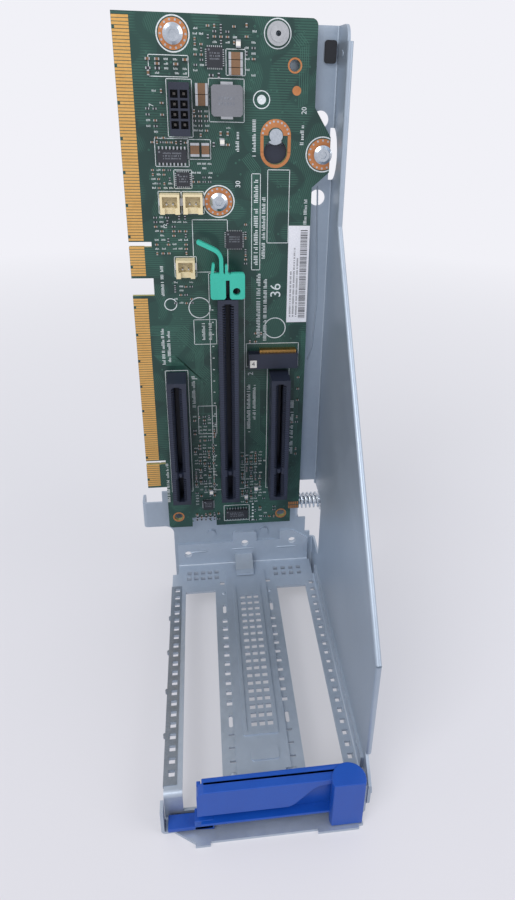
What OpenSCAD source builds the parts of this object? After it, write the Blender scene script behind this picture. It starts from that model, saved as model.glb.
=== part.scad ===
// Riser cage bracket: a folded sheet-metal cage that carries a riser board with
// three expansion-card slots and latches the brackets of its cards.
//
// Sizes are in millimetres. The modules draw in the board's own frame: X runs
// across the slots with 0 on the long slot's centre line, Y runs from the card
// side (-) to the back (+) with 0 on the board's front face, and Z is up with 0
// on the rear panel's inner face. placed() moves that frame so that the origin
// is the bottom centre of the whole bracket.

/* [Sheet metal] */
// Thickness of the folded sheet
sheet_t = 1; // [0.8:0.1:1.2]
// Inside radius of the folds
fold_r = 0.6; // [0.4:0.1:0.8]
// Width of the hem along the side wall's front edge
hem_w = 5; // [4:0.5:7]
// Side of a square vent hole
vent = 2; // [1.6:0.1:2.2]

/* [Card slots] */
// Distance between neighbouring slots
slot_pitch = 20.32; // [20.32:0.02:21]
// Width of a slot's housing
slot_w = 7.5; // [7:0.1:8]
// Height of a slot's housing above the board
slot_h = 11.25; // [10.5:0.25:12]
// Length of the long slot
long_slot_l = 89; // [86:1:91]
// Length of each short slot
short_slot_l = 56; // [50:1:60]
// Height of the slots' lower ends above the rear panel
slot_z = 44.5; // [43:0.5:46]
// Width of the groove that takes a card's edge
groove_w = 1.9; // [1.7:0.1:2.2]
// Depth of the groove below the slot's mouth
groove_d = 8.4; // [7.5:0.1:9]
// Spacing of the contacts along a slot
contact_pitch = 1; // [1:0.05:1.25]

/* [Rear panel] */
// Width of a card window
window_w = 13.1; // [12.5:0.1:13.6]
// Distance of a window's centre to the right of its slot
window_offset = 6.2; // [5.8:0.1:6.6]
// Distance of the windows' upper ends in front of the board
window_top = 15; // [14:0.5:18]
// Width of the rail left of the windows
left_rail_w = 6; // [5.5:0.1:7]
// Width of the rail right of the windows
right_rail_w = 4.9; // [4.5:0.1:6]
// Distance of the panel's front ledge from the board
panel_depth = 106; // [104:1:110]
// Depth of the tray below the panel
tray_drop = 11.6; // [11:0.1:13]
// Reach of the tray floor in front of the ledge
tray_reach = 9; // [9:0.5:11]
// Height of the flange that is fixed to the back plate
flange_h = 12; // [11:0.5:13]
// Height of the upturned edge along the side wall
edge_h = 5; // [4:0.5:7]
// Spacing of the vent holes along the rails
rail_pitch = 4.5; // [4:0.1:5]

/* [Slot cover] */
// Thickness of the slot cover
cover_t = 0.8; // [0.6:0.1:1]
// Width of a card bracket and of the slot cover
cover_w = 18.1; // [17:0.1:18.4]
// Spacing of the cover's vent holes
cover_pitch = 3.5; // [3:0.1:4]

/* [Riser board] */
// Thickness of the board
board_t = 1.6; // [1.2:0.1:2]
// Height of the board
board_h = 200; // [196:1:204]
// Height of the board's lower edge above the rear panel
board_z = 24.6; // [23:0.1:26]
// Distance of the board's left edge from the long slot
board_left = 27; // [26.6:0.1:27.6]
// Reach of the edge connectors beyond the left edge
tongue = 8; // [7.5:0.1:8.5]
// Length of each edge connector
edge_l = 85.8; // [83:0.1:87]
// Gap between the board's right edge and the side wall
wall_gap = 7.9; // [7.5:0.1:8.5]
// Height of the standoffs behind the board
standoff_h = 2.4; // [2:0.1:3]
// Diameter of a standoff
standoff_d = 6.4; // [6:0.1:7]
// Shank diameter of the board screws
board_screw_d = 3; // [2.5:0.1:3.2]

/* [Side wall] */
// Reach of the wall in front of the board at its top
wall_top_reach = 11; // [9:0.5:14]
// Height where the wall's front edge starts to slope out
slope_top = 160; // [150:1:170]
// Height where the slope ends
slope_bottom = 48.5; // [42:0.5:54]
// How far the board stands above the cage
board_rise = 1.6; // [1:0.1:3]

/* [Bracket latch] */
// Height of the latch's bar
bar_h = 15.5; // [14:0.5:16]
// Thickness of the latch's bar
bar_t = 5; // [4.5:0.1:5.4]
// Diameter of the latch's hub
hub_d = 11.2; // [10:0.2:11.4]
// Diameter of the latch's pin
latch_pin_d = 3; // [2.5:0.1:3.5]

/* [Captive screw] */
// Height of the screw above the rear panel
screw_z = 29.8; // [29:0.1:31]
// Distance of the screw's axis behind the back plate
screw_back = 3.5; // [3.4:0.1:4]
// Diameter of the screw's shaft
screw_d = 4; // [3.5:0.1:4.4]
// Diameter of the knob
knob_d = 12; // [11:0.5:13]
// Length of the knob
knob_l = 9; // [8:0.5:11]
// Outer diameter of the spring
spring_d = 7.6; // [7:0.1:8]
// Diameter of the spring's wire
spring_wire = 0.8; // [0.6:0.1:1]
// Turns of the spring
spring_turns = 5; // [4:1:7]

/* [Clearances] */
// Running clearance around a shaft or pin
run_gap = 0.05; // [0.02:0.01:0.08]
// Gap between pieces that move past each other
move_gap = 0.3; // [0.2:0.05:0.4]

/* [Hidden] */
$fn = 48;
eps = 0.01;
cut = 60;

// Levels that several pieces share
outer_r = fold_r + sheet_t;
plate_y = board_t + standoff_h;
plate_back = plate_y + sheet_t;
flange_y = plate_y - sheet_t;
floor_z = -tray_drop;
base_z = floor_z - sheet_t;
board_top = board_z + board_h;
cage_top = board_top - board_rise;
ledge_y = -panel_depth;
tray_front = ledge_y - tray_reach;

// Places across the bracket
slot_xs = [-slot_pitch, 0, slot_pitch];
window_xs = [for (x = slot_xs) x + window_offset];
window_left = window_xs[0] - window_w / 2;
window_right = window_xs[2] + window_w / 2;
panel_left = window_left - left_rail_w;
panel_right = window_right + right_rail_w;
wall_x = panel_right + sheet_t;
plate_left = panel_left + 1.2;
board_right = wall_x - wall_gap;
tongue_x = -board_left - tongue;

// Screw, ear and extents
screw_y = plate_back + screw_back;
ear_x = tongue_x - 3.5;
guide_x = board_right + 0.5;
knob_x = wall_x + sheet_t + 2;
knob_end = knob_x + knob_l;
ear_flange_y = screw_y + 4.5;
y_max = screw_y + knob_d / 2;

// Latch: the pivot stands in front of the ledge, a bracket's thickness clear
pivot_x = wall_x - sheet_t - hub_d / 2 - 0.4;
pivot_y = ledge_y - 6.5;
bar_back = ledge_y - cover_t - move_gap;
bar_front = bar_back - bar_t;
bar_z = floor_z + 4.2;
y_min = pivot_y - hub_d / 2;

// Board places: x, and distance below the board's top edge
board_spots = [[-16, 5.9], [board_right + 3.3, 41.7], [-2.4, 58]];
stud_spot = [17.7, 35.7];
nut_spot = [17.8, 4.8];

// Moves the board's frame to the bottom centre of the bracket
module placed() {
    translate([-(ear_x + knob_end) / 2, -(y_min + y_max) / 2, -base_z]) children();
}

// A front-view outline (x, z) as a plate from y to y + t
module front_view(y, t) {
    translate([0, y + t, 0]) rotate([90, 0, 0]) linear_extrude(t) children();
}

// A side-view outline (y, z) as a plate from x to x + t
module side_view(x, t) {
    translate([x, 0, 0]) rotate([90, 0, 90]) linear_extrude(t) children();
}

// A top-view outline (x, y) as a plate from z to z + t
module top_view(z, t) {
    translate([0, 0, z]) linear_extrude(t) children();
}

// Rectangle between two corners
module area(a, b) {
    translate(a) square(b - a);
}

// Box between two corners
module block(a, b) {
    translate(a) cube(b - a);
}

// Rectangle between two corners, with round corners
module rounded(a, b, r) {
    area([a.x + r, a.y], [b.x - r, b.y]);
    area([a.x, a.y + r], [b.x, b.y - r]);
    for (x = [a.x + r, b.x - r], y = [a.y + r, b.y - r]) translate([x, y]) circle(r);
}

// Section of a fold: a quarter ring from angle a to a + 90
module fold(a, r = fold_r, t = sheet_t) {
    rotate(a) intersection() {
        difference() {
            circle(r + t);
            circle(r);
        }
        square(r + t);
    }
}

// Waste of a square corner at the origin, filling the side of -x and -y, that gets the radius r
module corner_waste(r) {
    difference() {
        area([-r, -r], [eps, eps]);
        translate([-r, -r]) circle(r);
    }
}

// Corner of a line moved inwards by h, between edges with normals n and m
function inset(p, n, m, h) = p + h * (n + m) / (1 + n * m);

// ---------------------------------------------------------------- cage frame

// Front edge of the side wall, from its foot to its top corner, as (y, z)
wall_foot_z = floor_z + 3.6;
wall_reach = panel_depth - 0.5;
wall_corner_r = 5;
wall_edge = [
    [-wall_reach, wall_foot_z],
    [-wall_reach, slope_bottom],
    [-wall_top_reach, slope_top],
    [-wall_top_reach, cage_top - wall_corner_r]
];
slope_run = wall_edge[2] - wall_edge[1];
slope_in = [slope_run.y, -slope_run.x] / norm(slope_run);

// The wall's front edge moved inwards by h
function wall_line(h) = [
    wall_edge[0] + [h, 0],
    inset(wall_edge[1], [1, 0], slope_in, h),
    inset(wall_edge[2], slope_in, [1, 0], h),
    wall_edge[3] + [h, 0]
];

// Wall sheet with its rolled edge left off
module wall_outline() {
    difference() {
        polygon(concat(
            [[plate_y - fold_r, base_z], [-wall_reach + 12, base_z]],
            wall_line(sheet_t),
            [[-wall_top_reach + sheet_t, cage_top], [plate_y - fold_r, cage_top]]
        ));
        translate([-wall_top_reach + sheet_t, cage_top]) mirror([1, 0]) corner_waste(wall_corner_r);
    }
    wall_ear();
}

// Ear at the wall's foot, riveted to the tray's cheek
wall_ear_y = ledge_y - 5.6;
module wall_ear() {
    difference() {
        polygon([
            [-wall_reach + sheet_t, wall_foot_z],
            [wall_ear_y, wall_foot_z],
            [wall_ear_y, 2],
            [-wall_reach + sheet_t, 9]
        ]);
        translate([wall_ear_y, wall_foot_z]) rotate(180) corner_waste(2);
    }
}

// Closed hem: a second layer outside the wall and a rolled edge
module wall_hem() {
    outer = wall_line(sheet_t);
    inner = wall_line(hem_w);
    ear_top = 9;
    lifted = [outer[0].x, ear_top];
    side_view(wall_x + sheet_t, sheet_t)
        polygon([lifted, outer[1], outer[2], outer[3], inner[3], inner[2], inner[1], [inner[0].x, ear_top]]);
    rolled_edge(lifted, outer[1]);
    rolled_edge(outer[1], outer[2]);
    rolled_edge(outer[2], outer[3]);
}

// Round edge between two points of the wall, as (y, z)
module rolled_edge(p, q) {
    run = q - p;
    translate([wall_x + sheet_t, p.x, p.y]) rotate([-atan2(run.x, run.y), 0, 0])
        linear_extrude(norm(run)) rolled_section();
}

// Section of the rolled edge: round outside, and run into the two layers inside
module rolled_section() {
    circle(sheet_t);
    area([-sheet_t, 0], [sheet_t, 1.5 * sheet_t]);
}

// Left ear with the end flange that guides the captive screw's tip
ear_top_z = board_z + 10.9;
ear_foot_z = board_z - 2.1;
ear_fillet = 4;
module ear_outline() {
    area([ear_x + outer_r, ear_foot_z], [plate_left, ear_top_z]);
    area([plate_left - 4.3, ear_top_z - eps], [plate_left + 2, ear_top_z + 5.5]);
    difference() {
        area([plate_left - ear_fillet, ear_foot_z - ear_fillet], [plate_left + eps, ear_foot_z + eps]);
        translate([plate_left - ear_fillet, ear_foot_z - ear_fillet]) circle(ear_fillet);
    }
}

// Gap at the back plate's right edge, in which the screw's spring lies
gap_foot_z = board_z - 9.6;
gap_top_z = board_z + 19.4;
module plate_outline() {
    fold_x = wall_x - fold_r;
    difference() {
        union() {
            area([plate_left, base_z], [fold_x, ear_top_z + 5.5]);
            area([plate_left + 1.5, ear_top_z], [fold_x, cage_top]);
            ear_outline();
        }
        area([guide_x, gap_foot_z], [fold_x + eps, gap_top_z]);
        area([guide_x - outer_r, screw_z - guide_half], [guide_x + eps, screw_z + guide_half]);
        for (z = plate_holes_z) translate([plate_hole_x, z]) circle(plate_hole_d / 2);
        for (p = flange_holes) translate(p) circle(flange_hole_d / 2);
        for (p = board_spots) translate([p.x, board_top - p.y]) circle(stub_d / 2 + run_gap);
        translate([stud_spot.x, board_top - stud_spot.y]) circle(stub_d / 2 + run_gap);
        for (p = rivet_spots) translate(p) circle(rivet_d / 2 + run_gap);
    }
    // Small tab that is left in the gap's lower corner
    area([guide_x - eps, gap_foot_z - eps], [guide_x + 3.4, gap_foot_z + 8.1]);
}
plate_hole_x = wall_x - 5.1;
plate_hole_d = 5.8;
plate_holes_z = [board_top - 57.1, board_top - 30.5];
flange_hole_d = 3.4;
flange_holes = [[panel_left + 7.2, 6.4], [window_xs[1] + 0.6, 11.1], [window_xs[2] + 2.4, 11.2]];
stub_d = 4.6;
rivet_d = 2.4;
rivet_spots = [[-8.4, board_z - 7.4], [15.7, board_z - 7.4]];
guide_half = 5.5;

// Flange bent back from the plate, with a bore for the captive screw
module guide_flange() {
    bend_y = plate_y + outer_r;
    difference() {
        union() {
            top_view(screw_z - guide_half, 2 * guide_half)
                translate([guide_x - outer_r, bend_y]) fold(-90);
            side_view(guide_x - sheet_t, sheet_t)
                rounded_end([bend_y, screw_z - guide_half], [ear_flange_y, screw_z + guide_half], 3);
        }
        screw_bore(guide_x);
    }
}

// End flange of the left ear
module ear_flange() {
    bend_y = plate_y + outer_r;
    difference() {
        union() {
            top_view(ear_foot_z, ear_top_z - ear_foot_z)
                translate([ear_x + outer_r, bend_y]) fold(180);
            side_view(ear_x, sheet_t)
                rounded_end([bend_y, ear_foot_z], [ear_flange_y, ear_top_z], 3);
        }
        screw_bore(ear_x);
    }
}

// Bore of the captive screw through a flange near x
module screw_bore(x) {
    translate([x - 5, screw_y, screw_z]) rotate([0, 90, 0])
        cylinder(h = 10, r = screw_d / 2 + run_gap);
}

// Rectangle between two corners whose far (right) corners are round
module rounded_end(a, b, r) {
    area(a, [b.x - r, b.y]);
    area([a.x, a.y + r], [b.x, b.y - r]);
    for (y = [a.y + r, b.y - r]) translate([b.x - r, y]) circle(r);
}

// Crescent in the fold that clears the board's corner tab
module crescent() {
    translate([wall_x - 1.4, plate_y + 2, board_top - 41.9]) rotate([0, 90, 0])
        cylinder(h = cut, r = 9);
}

// Relief at the fold beside the spring
module fold_relief() {
    side_view(wall_x - outer_r - eps, 3 * sheet_t)
        rounded([-10.5, gap_foot_z - 3], [plate_back + 3, gap_top_z - 2], 3);
}

module cage_frame() {
    color("#a9b6c0") difference() {
        union() {
            front_view(plate_y, sheet_t) plate_outline();
            side_view(wall_x, sheet_t) wall_outline();
            top_view(base_z, cage_top - base_z)
                translate([wall_x - fold_r, plate_y - fold_r]) fold(0);
            wall_hem();
            guide_flange();
            ear_flange();
        }
        crescent();
        fold_relief();
        translate([wall_x - 1, rivet_y, wall_rivet_z]) rotate([0, 90, 0])
            cylinder(h = 10, r = wall_rivet_d / 2 + run_gap);
    }
}

// ---------------------------------------------------------------- rear panel

cheek_back = ledge_y - fold_r;
cheek_front = wall_ear_y + 0.6;
rivet_y = ledge_y - 2.5;
wall_rivet_z = floor_z + 9;
wall_rivet_d = 2.6;
window_foot_z = floor_z + 2.6;
right_fold_x = panel_right - fold_r;
edge_front = ledge_y + 2.4;

// Outline of the flange that lies against the back plate, as (x, z)
module flange_outline() {
    left = panel_left + 2.6;
    middle = window_xs[1];
    right = window_xs[2];
    area([left, fold_r], [panel_right - 1.5, flange_h * 0.9]);
    area([left, fold_r], [right - 2, flange_h]);
    rounded([middle - 5, fold_r], [middle + 6.1, flange_h + 5.5], 1.5);
    polygon([
        [right - 3.4, fold_r],
        [right - 3.4, flange_h + 5],
        [right + 2.7, flange_h + 5],
        [panel_right - 1.5, flange_h * 0.9 + 1],
        [panel_right - 1.5, fold_r]
    ]);
}

// Square vent holes in columns xs and rows ys
module vents(xs, ys) {
    for (x = xs, y = ys) translate([x, y]) square(vent, center = true);
}

// Number of steps of a pitch that fit between two places
function steps(a, b, pitch) = floor(abs(b - a) / pitch + eps);

strut_left = window_xs[0] + slot_pitch / 2;
strut_right = window_xs[1] + slot_pitch / 2;
rail_vents_y = [for (i = [0 : steps(window_top, panel_depth - 3, rail_pitch)]) -window_top + 1.5 - i * rail_pitch];
strut_vents_y = [for (i = [0 : steps(33.5, panel_depth - 30, rail_pitch)]) -33.5 - i * rail_pitch];

// Vent holes of the rails, the struts and the strip above the windows
module panel_vents() {
    vents([panel_left + 2.4], rail_vents_y);
    vents([panel_right - 2.1], rail_vents_y);
    vents([strut_left - 0.1, strut_right], strut_vents_y);
    vents([for (i = [0:4]) window_left + 1.5 + i * 3.1], [-6.5, -2.9]);
    vents([for (i = [0:3]) window_xs[2] - 6 + i * 3.6], [-6.5, -2.9]);
    vents([strut_left - 0.4, strut_right], [-10.5]);
    for (x = [strut_left, strut_right], y = [-26.6, ledge_y + 24.5])
        translate([x, y]) rounded([-0.7, -2.5], [0.7, 2.5], 0.69);
    for (x = [strut_left, strut_right], y = [9, 14, 19])
        translate([x, ledge_y + y]) square([vent, 0.8], center = true);
}

// Top-view outline of the panel, without its folds
module panel_outline() {
    difference() {
        area([panel_left, ledge_y + outer_r], [right_fold_x, flange_y - fold_r]);
        for (x = window_xs)
            area([x - window_w / 2, ledge_y], [x + window_w / 2, -window_top]);
        panel_vents();
        area([panel_left - eps, -3], [panel_left + 2.6, flange_y]);
    }
}

// Top-view outline of the tray floor, with its two front lugs
module floor_outline() {
    left = panel_left + 0.6;
    difference() {
        union() {
            polygon([
                [left, ledge_y - fold_r],
                [left, tray_front + 4.5],
                [left + 2.4, tray_front + 4.5],
                [left + 9.3, tray_front],
                [right_fold_x, tray_front],
                [right_fold_x, ledge_y - fold_r]
            ]);
            area([left + 9.3, tray_front - 1], [left + 14, tray_front + 1]);
            area([pivot_x - 9.5, tray_front - 1], [right_fold_x - 1.5, tray_front + 1]);
        }
        translate([pivot_x, pivot_y]) circle(latch_pin_d / 2 - 0.3 + run_gap);
    }
}

// Hook pressed out of the flange that holds the slot cover's upper end
module cover_hook() {
    w = 8;
    side_view(window_xs[1] - w / 2, w) polygon([
        [flange_y + eps, 5],
        [flange_y + eps, 3.8],
        [-5, cover_t + 0.3],
        [-7.5, cover_t + 0.3],
        [-7.5, cover_t + 0.3 + sheet_t],
        [-4.6, cover_t + 0.3 + sheet_t]
    ]);
}

// Feet between the panel and the tray floor, with the two folds
module ledge() {
    width = right_fold_x - panel_left;
    side_view(panel_left, width) {
        translate([ledge_y + outer_r, -outer_r]) fold(90);
        area([ledge_y, floor_z + fold_r], [ledge_y + sheet_t, -outer_r]);
        translate([ledge_y - fold_r, floor_z + fold_r]) fold(-90);
    }
}

// Windows as they run on through the ledge
module ledge_windows() {
    for (x = window_xs)
        block([x - window_w / 2, ledge_y - 3, window_foot_z], [x + window_w / 2, ledge_y + 4, 2]);
}

module rear_panel() {
    cheek_top = -1.4;
    left = panel_left + 0.6;
    color("#b4c0c9") {
        difference() {
            union() {
                top_view(-sheet_t, sheet_t) panel_outline();
                ledge();
                side_view(panel_left + 2.6, panel_right - 1.5 - panel_left - 2.6)
                    translate([flange_y - fold_r, fold_r]) fold(-90);
                front_view(flange_y, sheet_t) flange_outline();
                // Upturned edge against the side wall
                translate([0, -8, 0]) rotate([90, 0, 0]) linear_extrude(-8 - edge_front) {
                    translate([right_fold_x, fold_r]) fold(-90);
                    area([panel_right, fold_r], [wall_x, edge_h]);
                }
                // Tray floor with its two cheeks
                top_view(base_z, sheet_t) floor_outline();
                translate([0, cheek_back, 0]) rotate([90, 0, 0]) linear_extrude(cheek_back - cheek_front) {
                    translate([right_fold_x, floor_z + fold_r]) fold(-90);
                    area([panel_right, floor_z + fold_r], [wall_x, 1.5]);
                }
                translate([0, cheek_back, 0]) rotate([90, 0, 0])
                    linear_extrude(cheek_back - tray_front - 4.5) {
                        translate([left, floor_z + fold_r]) fold(180);
                        area([left - outer_r, floor_z + fold_r], [left - fold_r, cheek_top]);
                    }
            }
            ledge_windows();
            for (p = flange_holes) translate([p.x, flange_y - 1, p.y]) rotate([-90, 0, 0])
                cylinder(h = 3, r = flange_hole_d / 2);
            translate([panel_right - 1, rivet_y, wall_rivet_z]) rotate([0, 90, 0])
                cylinder(h = 3, r = wall_rivet_d / 2 + run_gap);
        }
        cover_hook();
    }
}

// ---------------------------------------------------------------- slot cover

cover_left = window_xs[1] - cover_w / 2;
cover_right = window_xs[1] + cover_w / 2;
cover_fold_r = 0.6;
cover_top_y = -4;
cover_notch = 1.8;

// Pressed frame and pad that stiffen the cover
module cover_beads() {
    x = window_xs[1];
    rib = 1.3;
    top_view(cover_t - eps, 0.5) {
        rounded([x - 6, ledge_y + 17.5], [x - 6 + rib, -14], 0.6);
        rounded([x + 4.9, ledge_y + 17.5], [x + 4.9 + rib, -14], 0.6);
        rounded([x - 6, ledge_y + 17.5], [x + 4.9 + rib, ledge_y + 17.5 + rib], 0.6);
        rounded([x - 4, ledge_y + 8], [x + 5.5, ledge_y + 12], 1);
    }
}

module slot_cover() {
    x = window_xs[1] + 0.9;
    foot = ledge_y + cover_fold_r;
    color("#b9c4cc") {
        difference() {
            top_view(0, cover_t) area([cover_left, foot], [cover_right, cover_top_y]);
            top_view(-1, 3) vents(
                [x - 2.9, x, x + 2.9],
                [for (i = [0 : steps(21, panel_depth - 22, cover_pitch)]) -21 - i * cover_pitch]
            );
            top_view(-1, 3) area([cover_right - cover_notch, foot - 1], [cover_right + 1, foot + 4]);
        }
        side_view(cover_left, cover_w - cover_notch) {
            translate([foot, -cover_fold_r]) fold(90, cover_fold_r, cover_t);
            area([ledge_y - cover_t, window_foot_z + 0.5], [ledge_y, -cover_fold_r]);
        }
        cover_beads();
    }
}

// ----------------------------------------------------------------- emi strip

strip_t = 0.25;
strip_w = 4.2;

// Finger strip clipped over the left rail's edge
module emi_strip() {
    strip_top = -window_top + 4;
    strip_foot = ledge_y + 3;
    color("#3a4046") {
        difference() {
            translate([0, strip_top, 0]) rotate([90, 0, 0]) linear_extrude(strip_top - strip_foot) {
                area([panel_left - strip_t, 0], [panel_left + strip_w, strip_t]);
                area([panel_left - strip_t, -sheet_t - strip_t], [panel_left, strip_t]);
                area([panel_left - strip_t, -sheet_t - strip_t], [panel_left + 1.2, -sheet_t]);
            }
            top_view(-1, 3) for (y = rail_vents_y)
                translate([panel_left + 2.4, y]) square(vent + 0.2, center = true);
        }
        // Contact bumps outside the rail's edge
        for (i = [1:4])
            translate([panel_left - strip_t, strip_top - i * (strip_top - strip_foot) / 5, -sheet_t - strip_t])
                intersection() {
                    cylinder(h = sheet_t + 2 * strip_t, r = 0.7);
                    translate([-1, -1, 0]) cube([1 + strip_t, 2, sheet_t + 2 * strip_t]);
                }
    }
}

// --------------------------------------------------------------- riser board

lower_edge_z = board_z + 21.7;
key_z = 12.5;
key_w = 1.9;
board_hole_d = board_screw_d + 0.4;
keyhole_r = 4.1;

// Outline of the board with its two edge connectors, as (x, z)
module board_outline() {
    difference() {
        union() {
            area([-board_left, board_z], [board_right, board_top]);
            area([tongue_x, lower_edge_z], [-board_left, lower_edge_z + edge_l]);
            area([tongue_x, board_top - edge_l], [-board_left, board_top]);
            polygon([
                [board_right - eps, board_top - 53],
                [board_right + 6, board_top - 47.7],
                [board_right + 6, board_top - 36],
                [board_right - eps, board_top - 26.5]
            ]);
        }
        for (z = [lower_edge_z, board_top - edge_l])
            area([tongue_x - eps, z + key_z - key_w / 2], [-board_left + 0.1, z + key_z + key_w / 2]);
        area([-16.8, board_z - 1], [-6.1, board_z + 4.8]);
        area([board_right - 3.9, board_z - 1], [board_right + 1, board_z + 7.1]);
        translate([board_right, board_top]) corner_waste(2);
        translate([-board_left, board_z]) rotate(180) corner_waste(1.5);
    }
}

module riser_board() {
    color("#1d4a3c") front_view(0, board_t) difference() {
        board_outline();
        for (p = board_spots) translate([p.x, board_top - p.y]) circle(board_hole_d / 2);
        translate([stud_spot.x, board_top - stud_spot.y - 5.4]) circle(keyhole_r);
        translate([stud_spot.x, board_top - stud_spot.y]) {
            circle(1.4);
            area([-1.4, -5], [1.4, 0]);
        }
        translate([nut_spot.x, board_top - nut_spot.y]) circle(1.6);
        translate([board_right - 7.3, board_top - 13.9]) circle(1.8);
        translate([-board_left + 4.3, board_z + 5.6]) circle(1.8);
        translate([board_right - 8.2, board_z + 4.7]) circle(1.8);
    }
}

// ---------------------------------------------------------------- card slots

pocket_w = 0.55 * contact_pitch;
pocket_d = 1.15;
groove_end = 1.5;
rib_z = 14.5;
rib_t = 1.7;
low_contacts = floor(11 / contact_pitch + eps);

// Number of contacts above the key rib
function high_contacts(l) = floor((l - rib_z - 3.5) / contact_pitch + eps);

// Heights of a slot's contacts above its lower end
function contact_places(l) = concat(
    [for (i = [0 : low_contacts - 1]) rib_z - 1.5 - (i + 0.5) * contact_pitch],
    [for (i = [0 : high_contacts(l) - 1]) rib_z + 1.5 + (i + 0.5) * contact_pitch]
);

// Groove with the contact pockets on both sides, as (x, z)
module groove_outline(l) {
    area([-groove_w / 2, groove_end], [groove_w / 2, rib_z - rib_t / 2]);
    area([-groove_w / 2, rib_z + rib_t / 2], [groove_w / 2, l - groove_end]);
    reach = groove_w / 2 + pocket_d;
    for (z = contact_places(l)) translate([0, z]) square([2 * reach, pocket_w], center = true);
}

// Housing of a slot of length l, standing on z = 0
module slot_housing(l) {
    difference() {
        block([-slot_w / 2, -slot_h, 0], [slot_w / 2, 0, l]);
        translate([0, -slot_h + groove_d, 0]) rotate([90, 0, 0])
            linear_extrude(groove_d + 1) groove_outline(l);
        // Lead-in chamfer along the groove's mouth
        for (s = [-1, 1]) translate([s * groove_w / 2, -slot_h, groove_end])
            rotate([0, 0, 45]) translate([-0.4, -0.4, 0]) cube([0.8, 0.8, l - 2 * groove_end]);
        // Undercut feet along both sides
        for (s = [-1, 1]) translate([s * slot_w / 2, 0, 3])
            block([-0.6, -1.2, 0], [0.6, 1, l - 6]);
    }
}

// Spring finger of one contact, as seen along the slot
module contact_finger() {
    wall = groove_w / 2 + pocket_d;
    foot = -slot_h + groove_d;
    tip = -slot_h + 1;
    polygon([
        [wall, foot],
        [wall - 0.3, foot],
        [groove_w / 2 + 0.1, tip + 2.4],
        [groove_w / 2 + 0.5, tip],
        [groove_w / 2 + 0.75, tip + 0.2],
        [groove_w / 2 + 0.42, tip + 2.5],
        [wall, foot - 1]
    ]);
}

// Contacts of a slot of length l
module contact_set(l) {
    color("#c9a24a") for (z = contact_places(l), s = [0, 1])
        translate([0, 0, z - 0.2]) mirror([s, 0, 0]) linear_extrude(0.4) contact_finger();
}

module slot_left() {
    color("#17181a") translate([slot_xs[0], 0, slot_z]) slot_housing(short_slot_l);
}

module slot_right() {
    color("#17181a") translate([slot_xs[2], 0, slot_z]) slot_housing(short_slot_l);
}

// The long slot's upper end carries the trunnions of the card latch
latch_base_l = 8;
trunnion = [0, -4, slot_z + long_slot_l + 4];
trunnion_d = 2.4;
latch_half_w = 6.2;
latch_h = 10;
module slot_long() {
    top = slot_z + long_slot_l;
    color("#17181a") {
        translate([slot_xs[1], 0, slot_z]) slot_housing(long_slot_l);
        block([-slot_w / 2, -slot_h + 5, top - eps], [slot_w / 2, 0, top + latch_base_l]);
        translate(trunnion) rotate([0, 90, 0])
            cylinder(h = 2 * latch_half_w - 0.6, d = trunnion_d, center = true);
    }
}

module contacts_left() {
    translate([slot_xs[0], 0, slot_z]) contact_set(short_slot_l);
}

module contacts_long() {
    translate([slot_xs[1], 0, slot_z]) contact_set(long_slot_l);
}

module contacts_right() {
    translate([slot_xs[2], 0, slot_z]) contact_set(short_slot_l);
}

// ---------------------------------------------------------------- card latch

arm_w = 1.4;
arm_r = 5;

// Front view of the latch's face, arm and prongs; z = 0 at the slot's end
module latch_face() {
    half_gap = 0.7;
    rounded([-latch_half_w, move_gap], [-half_gap, latch_h], 1);
    difference() {
        rounded([half_gap, move_gap], [latch_half_w, latch_h], 1);
        translate([3.2, 3.2]) circle(1.4);
    }
    area([-half_gap - eps, latch_h - 2.6], [half_gap + eps, latch_h]);
    // Long arm: straight, then a bend, then a slanted tip
    area([-2.9, latch_h - 1], [-2.9 + arm_w, latch_h + 4.5]);
    translate([-1.5 - arm_r, latch_h + 4.5]) {
        intersection() {
            difference() {
                circle(arm_r);
                circle(arm_r - arm_w);
            }
            polygon([[0, 0], [12, 0], [12, 18], [5.5, 12]]);
        }
        rotate(64) translate([arm_r - arm_w, -eps]) square([arm_w, 6]);
        rotate(64) translate([arm_r - arm_w / 2, 6]) circle(arm_w / 2);
    }
    // Short prongs beside the arm
    translate([-5.6, latch_h - 1]) rotate(-8) rounded([-0.5, 0], [0.5, 4.6], 0.45);
    rounded([-0.9, latch_h - 1], [0.1, latch_h + 3], 0.45);
}

module card_latch() {
    face_t = 2.2;
    cheek = 1.6;
    top = slot_z + long_slot_l;
    color("#2fb59a") difference() {
        union() {
            front_view(-slot_h, face_t) translate([0, top]) latch_face();
            for (s = [-1, 1])
                translate([s * (latch_half_w - cheek / 2), 0, 0])
                    side_view(-cheek / 2, cheek)
                        rounded([-slot_h + 1, top + move_gap], [trunnion.y + 2.3, trunnion.z + 3], 1);
        }
        translate(trunnion) rotate([0, 90, 0])
            cylinder(h = 20, r = trunnion_d / 2 + run_gap, center = true);
    }
}

// ------------------------------------------------------------ module socket

module_x = nut_spot.x;
module_l = 110;
socket_room = 8;
module_top = max(board_top - nut_spot.y - module_l, slot_z + short_slot_l + socket_room);
module_w = 19.6;

// Socket of the small plug-in module, open towards the top
module module_socket() {
    left = module_x - module_w / 2;
    h = 4;
    color("#1b1c1f") difference() {
        block([left, -h, module_top - 7.1], [left + module_w, 0, module_top - 0.9]);
        block([left + 1.4, -h + 1.1, module_top - 3.5], [left + module_w - 1.4, -h + 2.4, module_top]);
    }
    color("#e8e8e4") block([left + 0.6, -h - 0.3, module_top - 6.4], [left + 3.2, -h, module_top - 3.4]);
}

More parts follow.
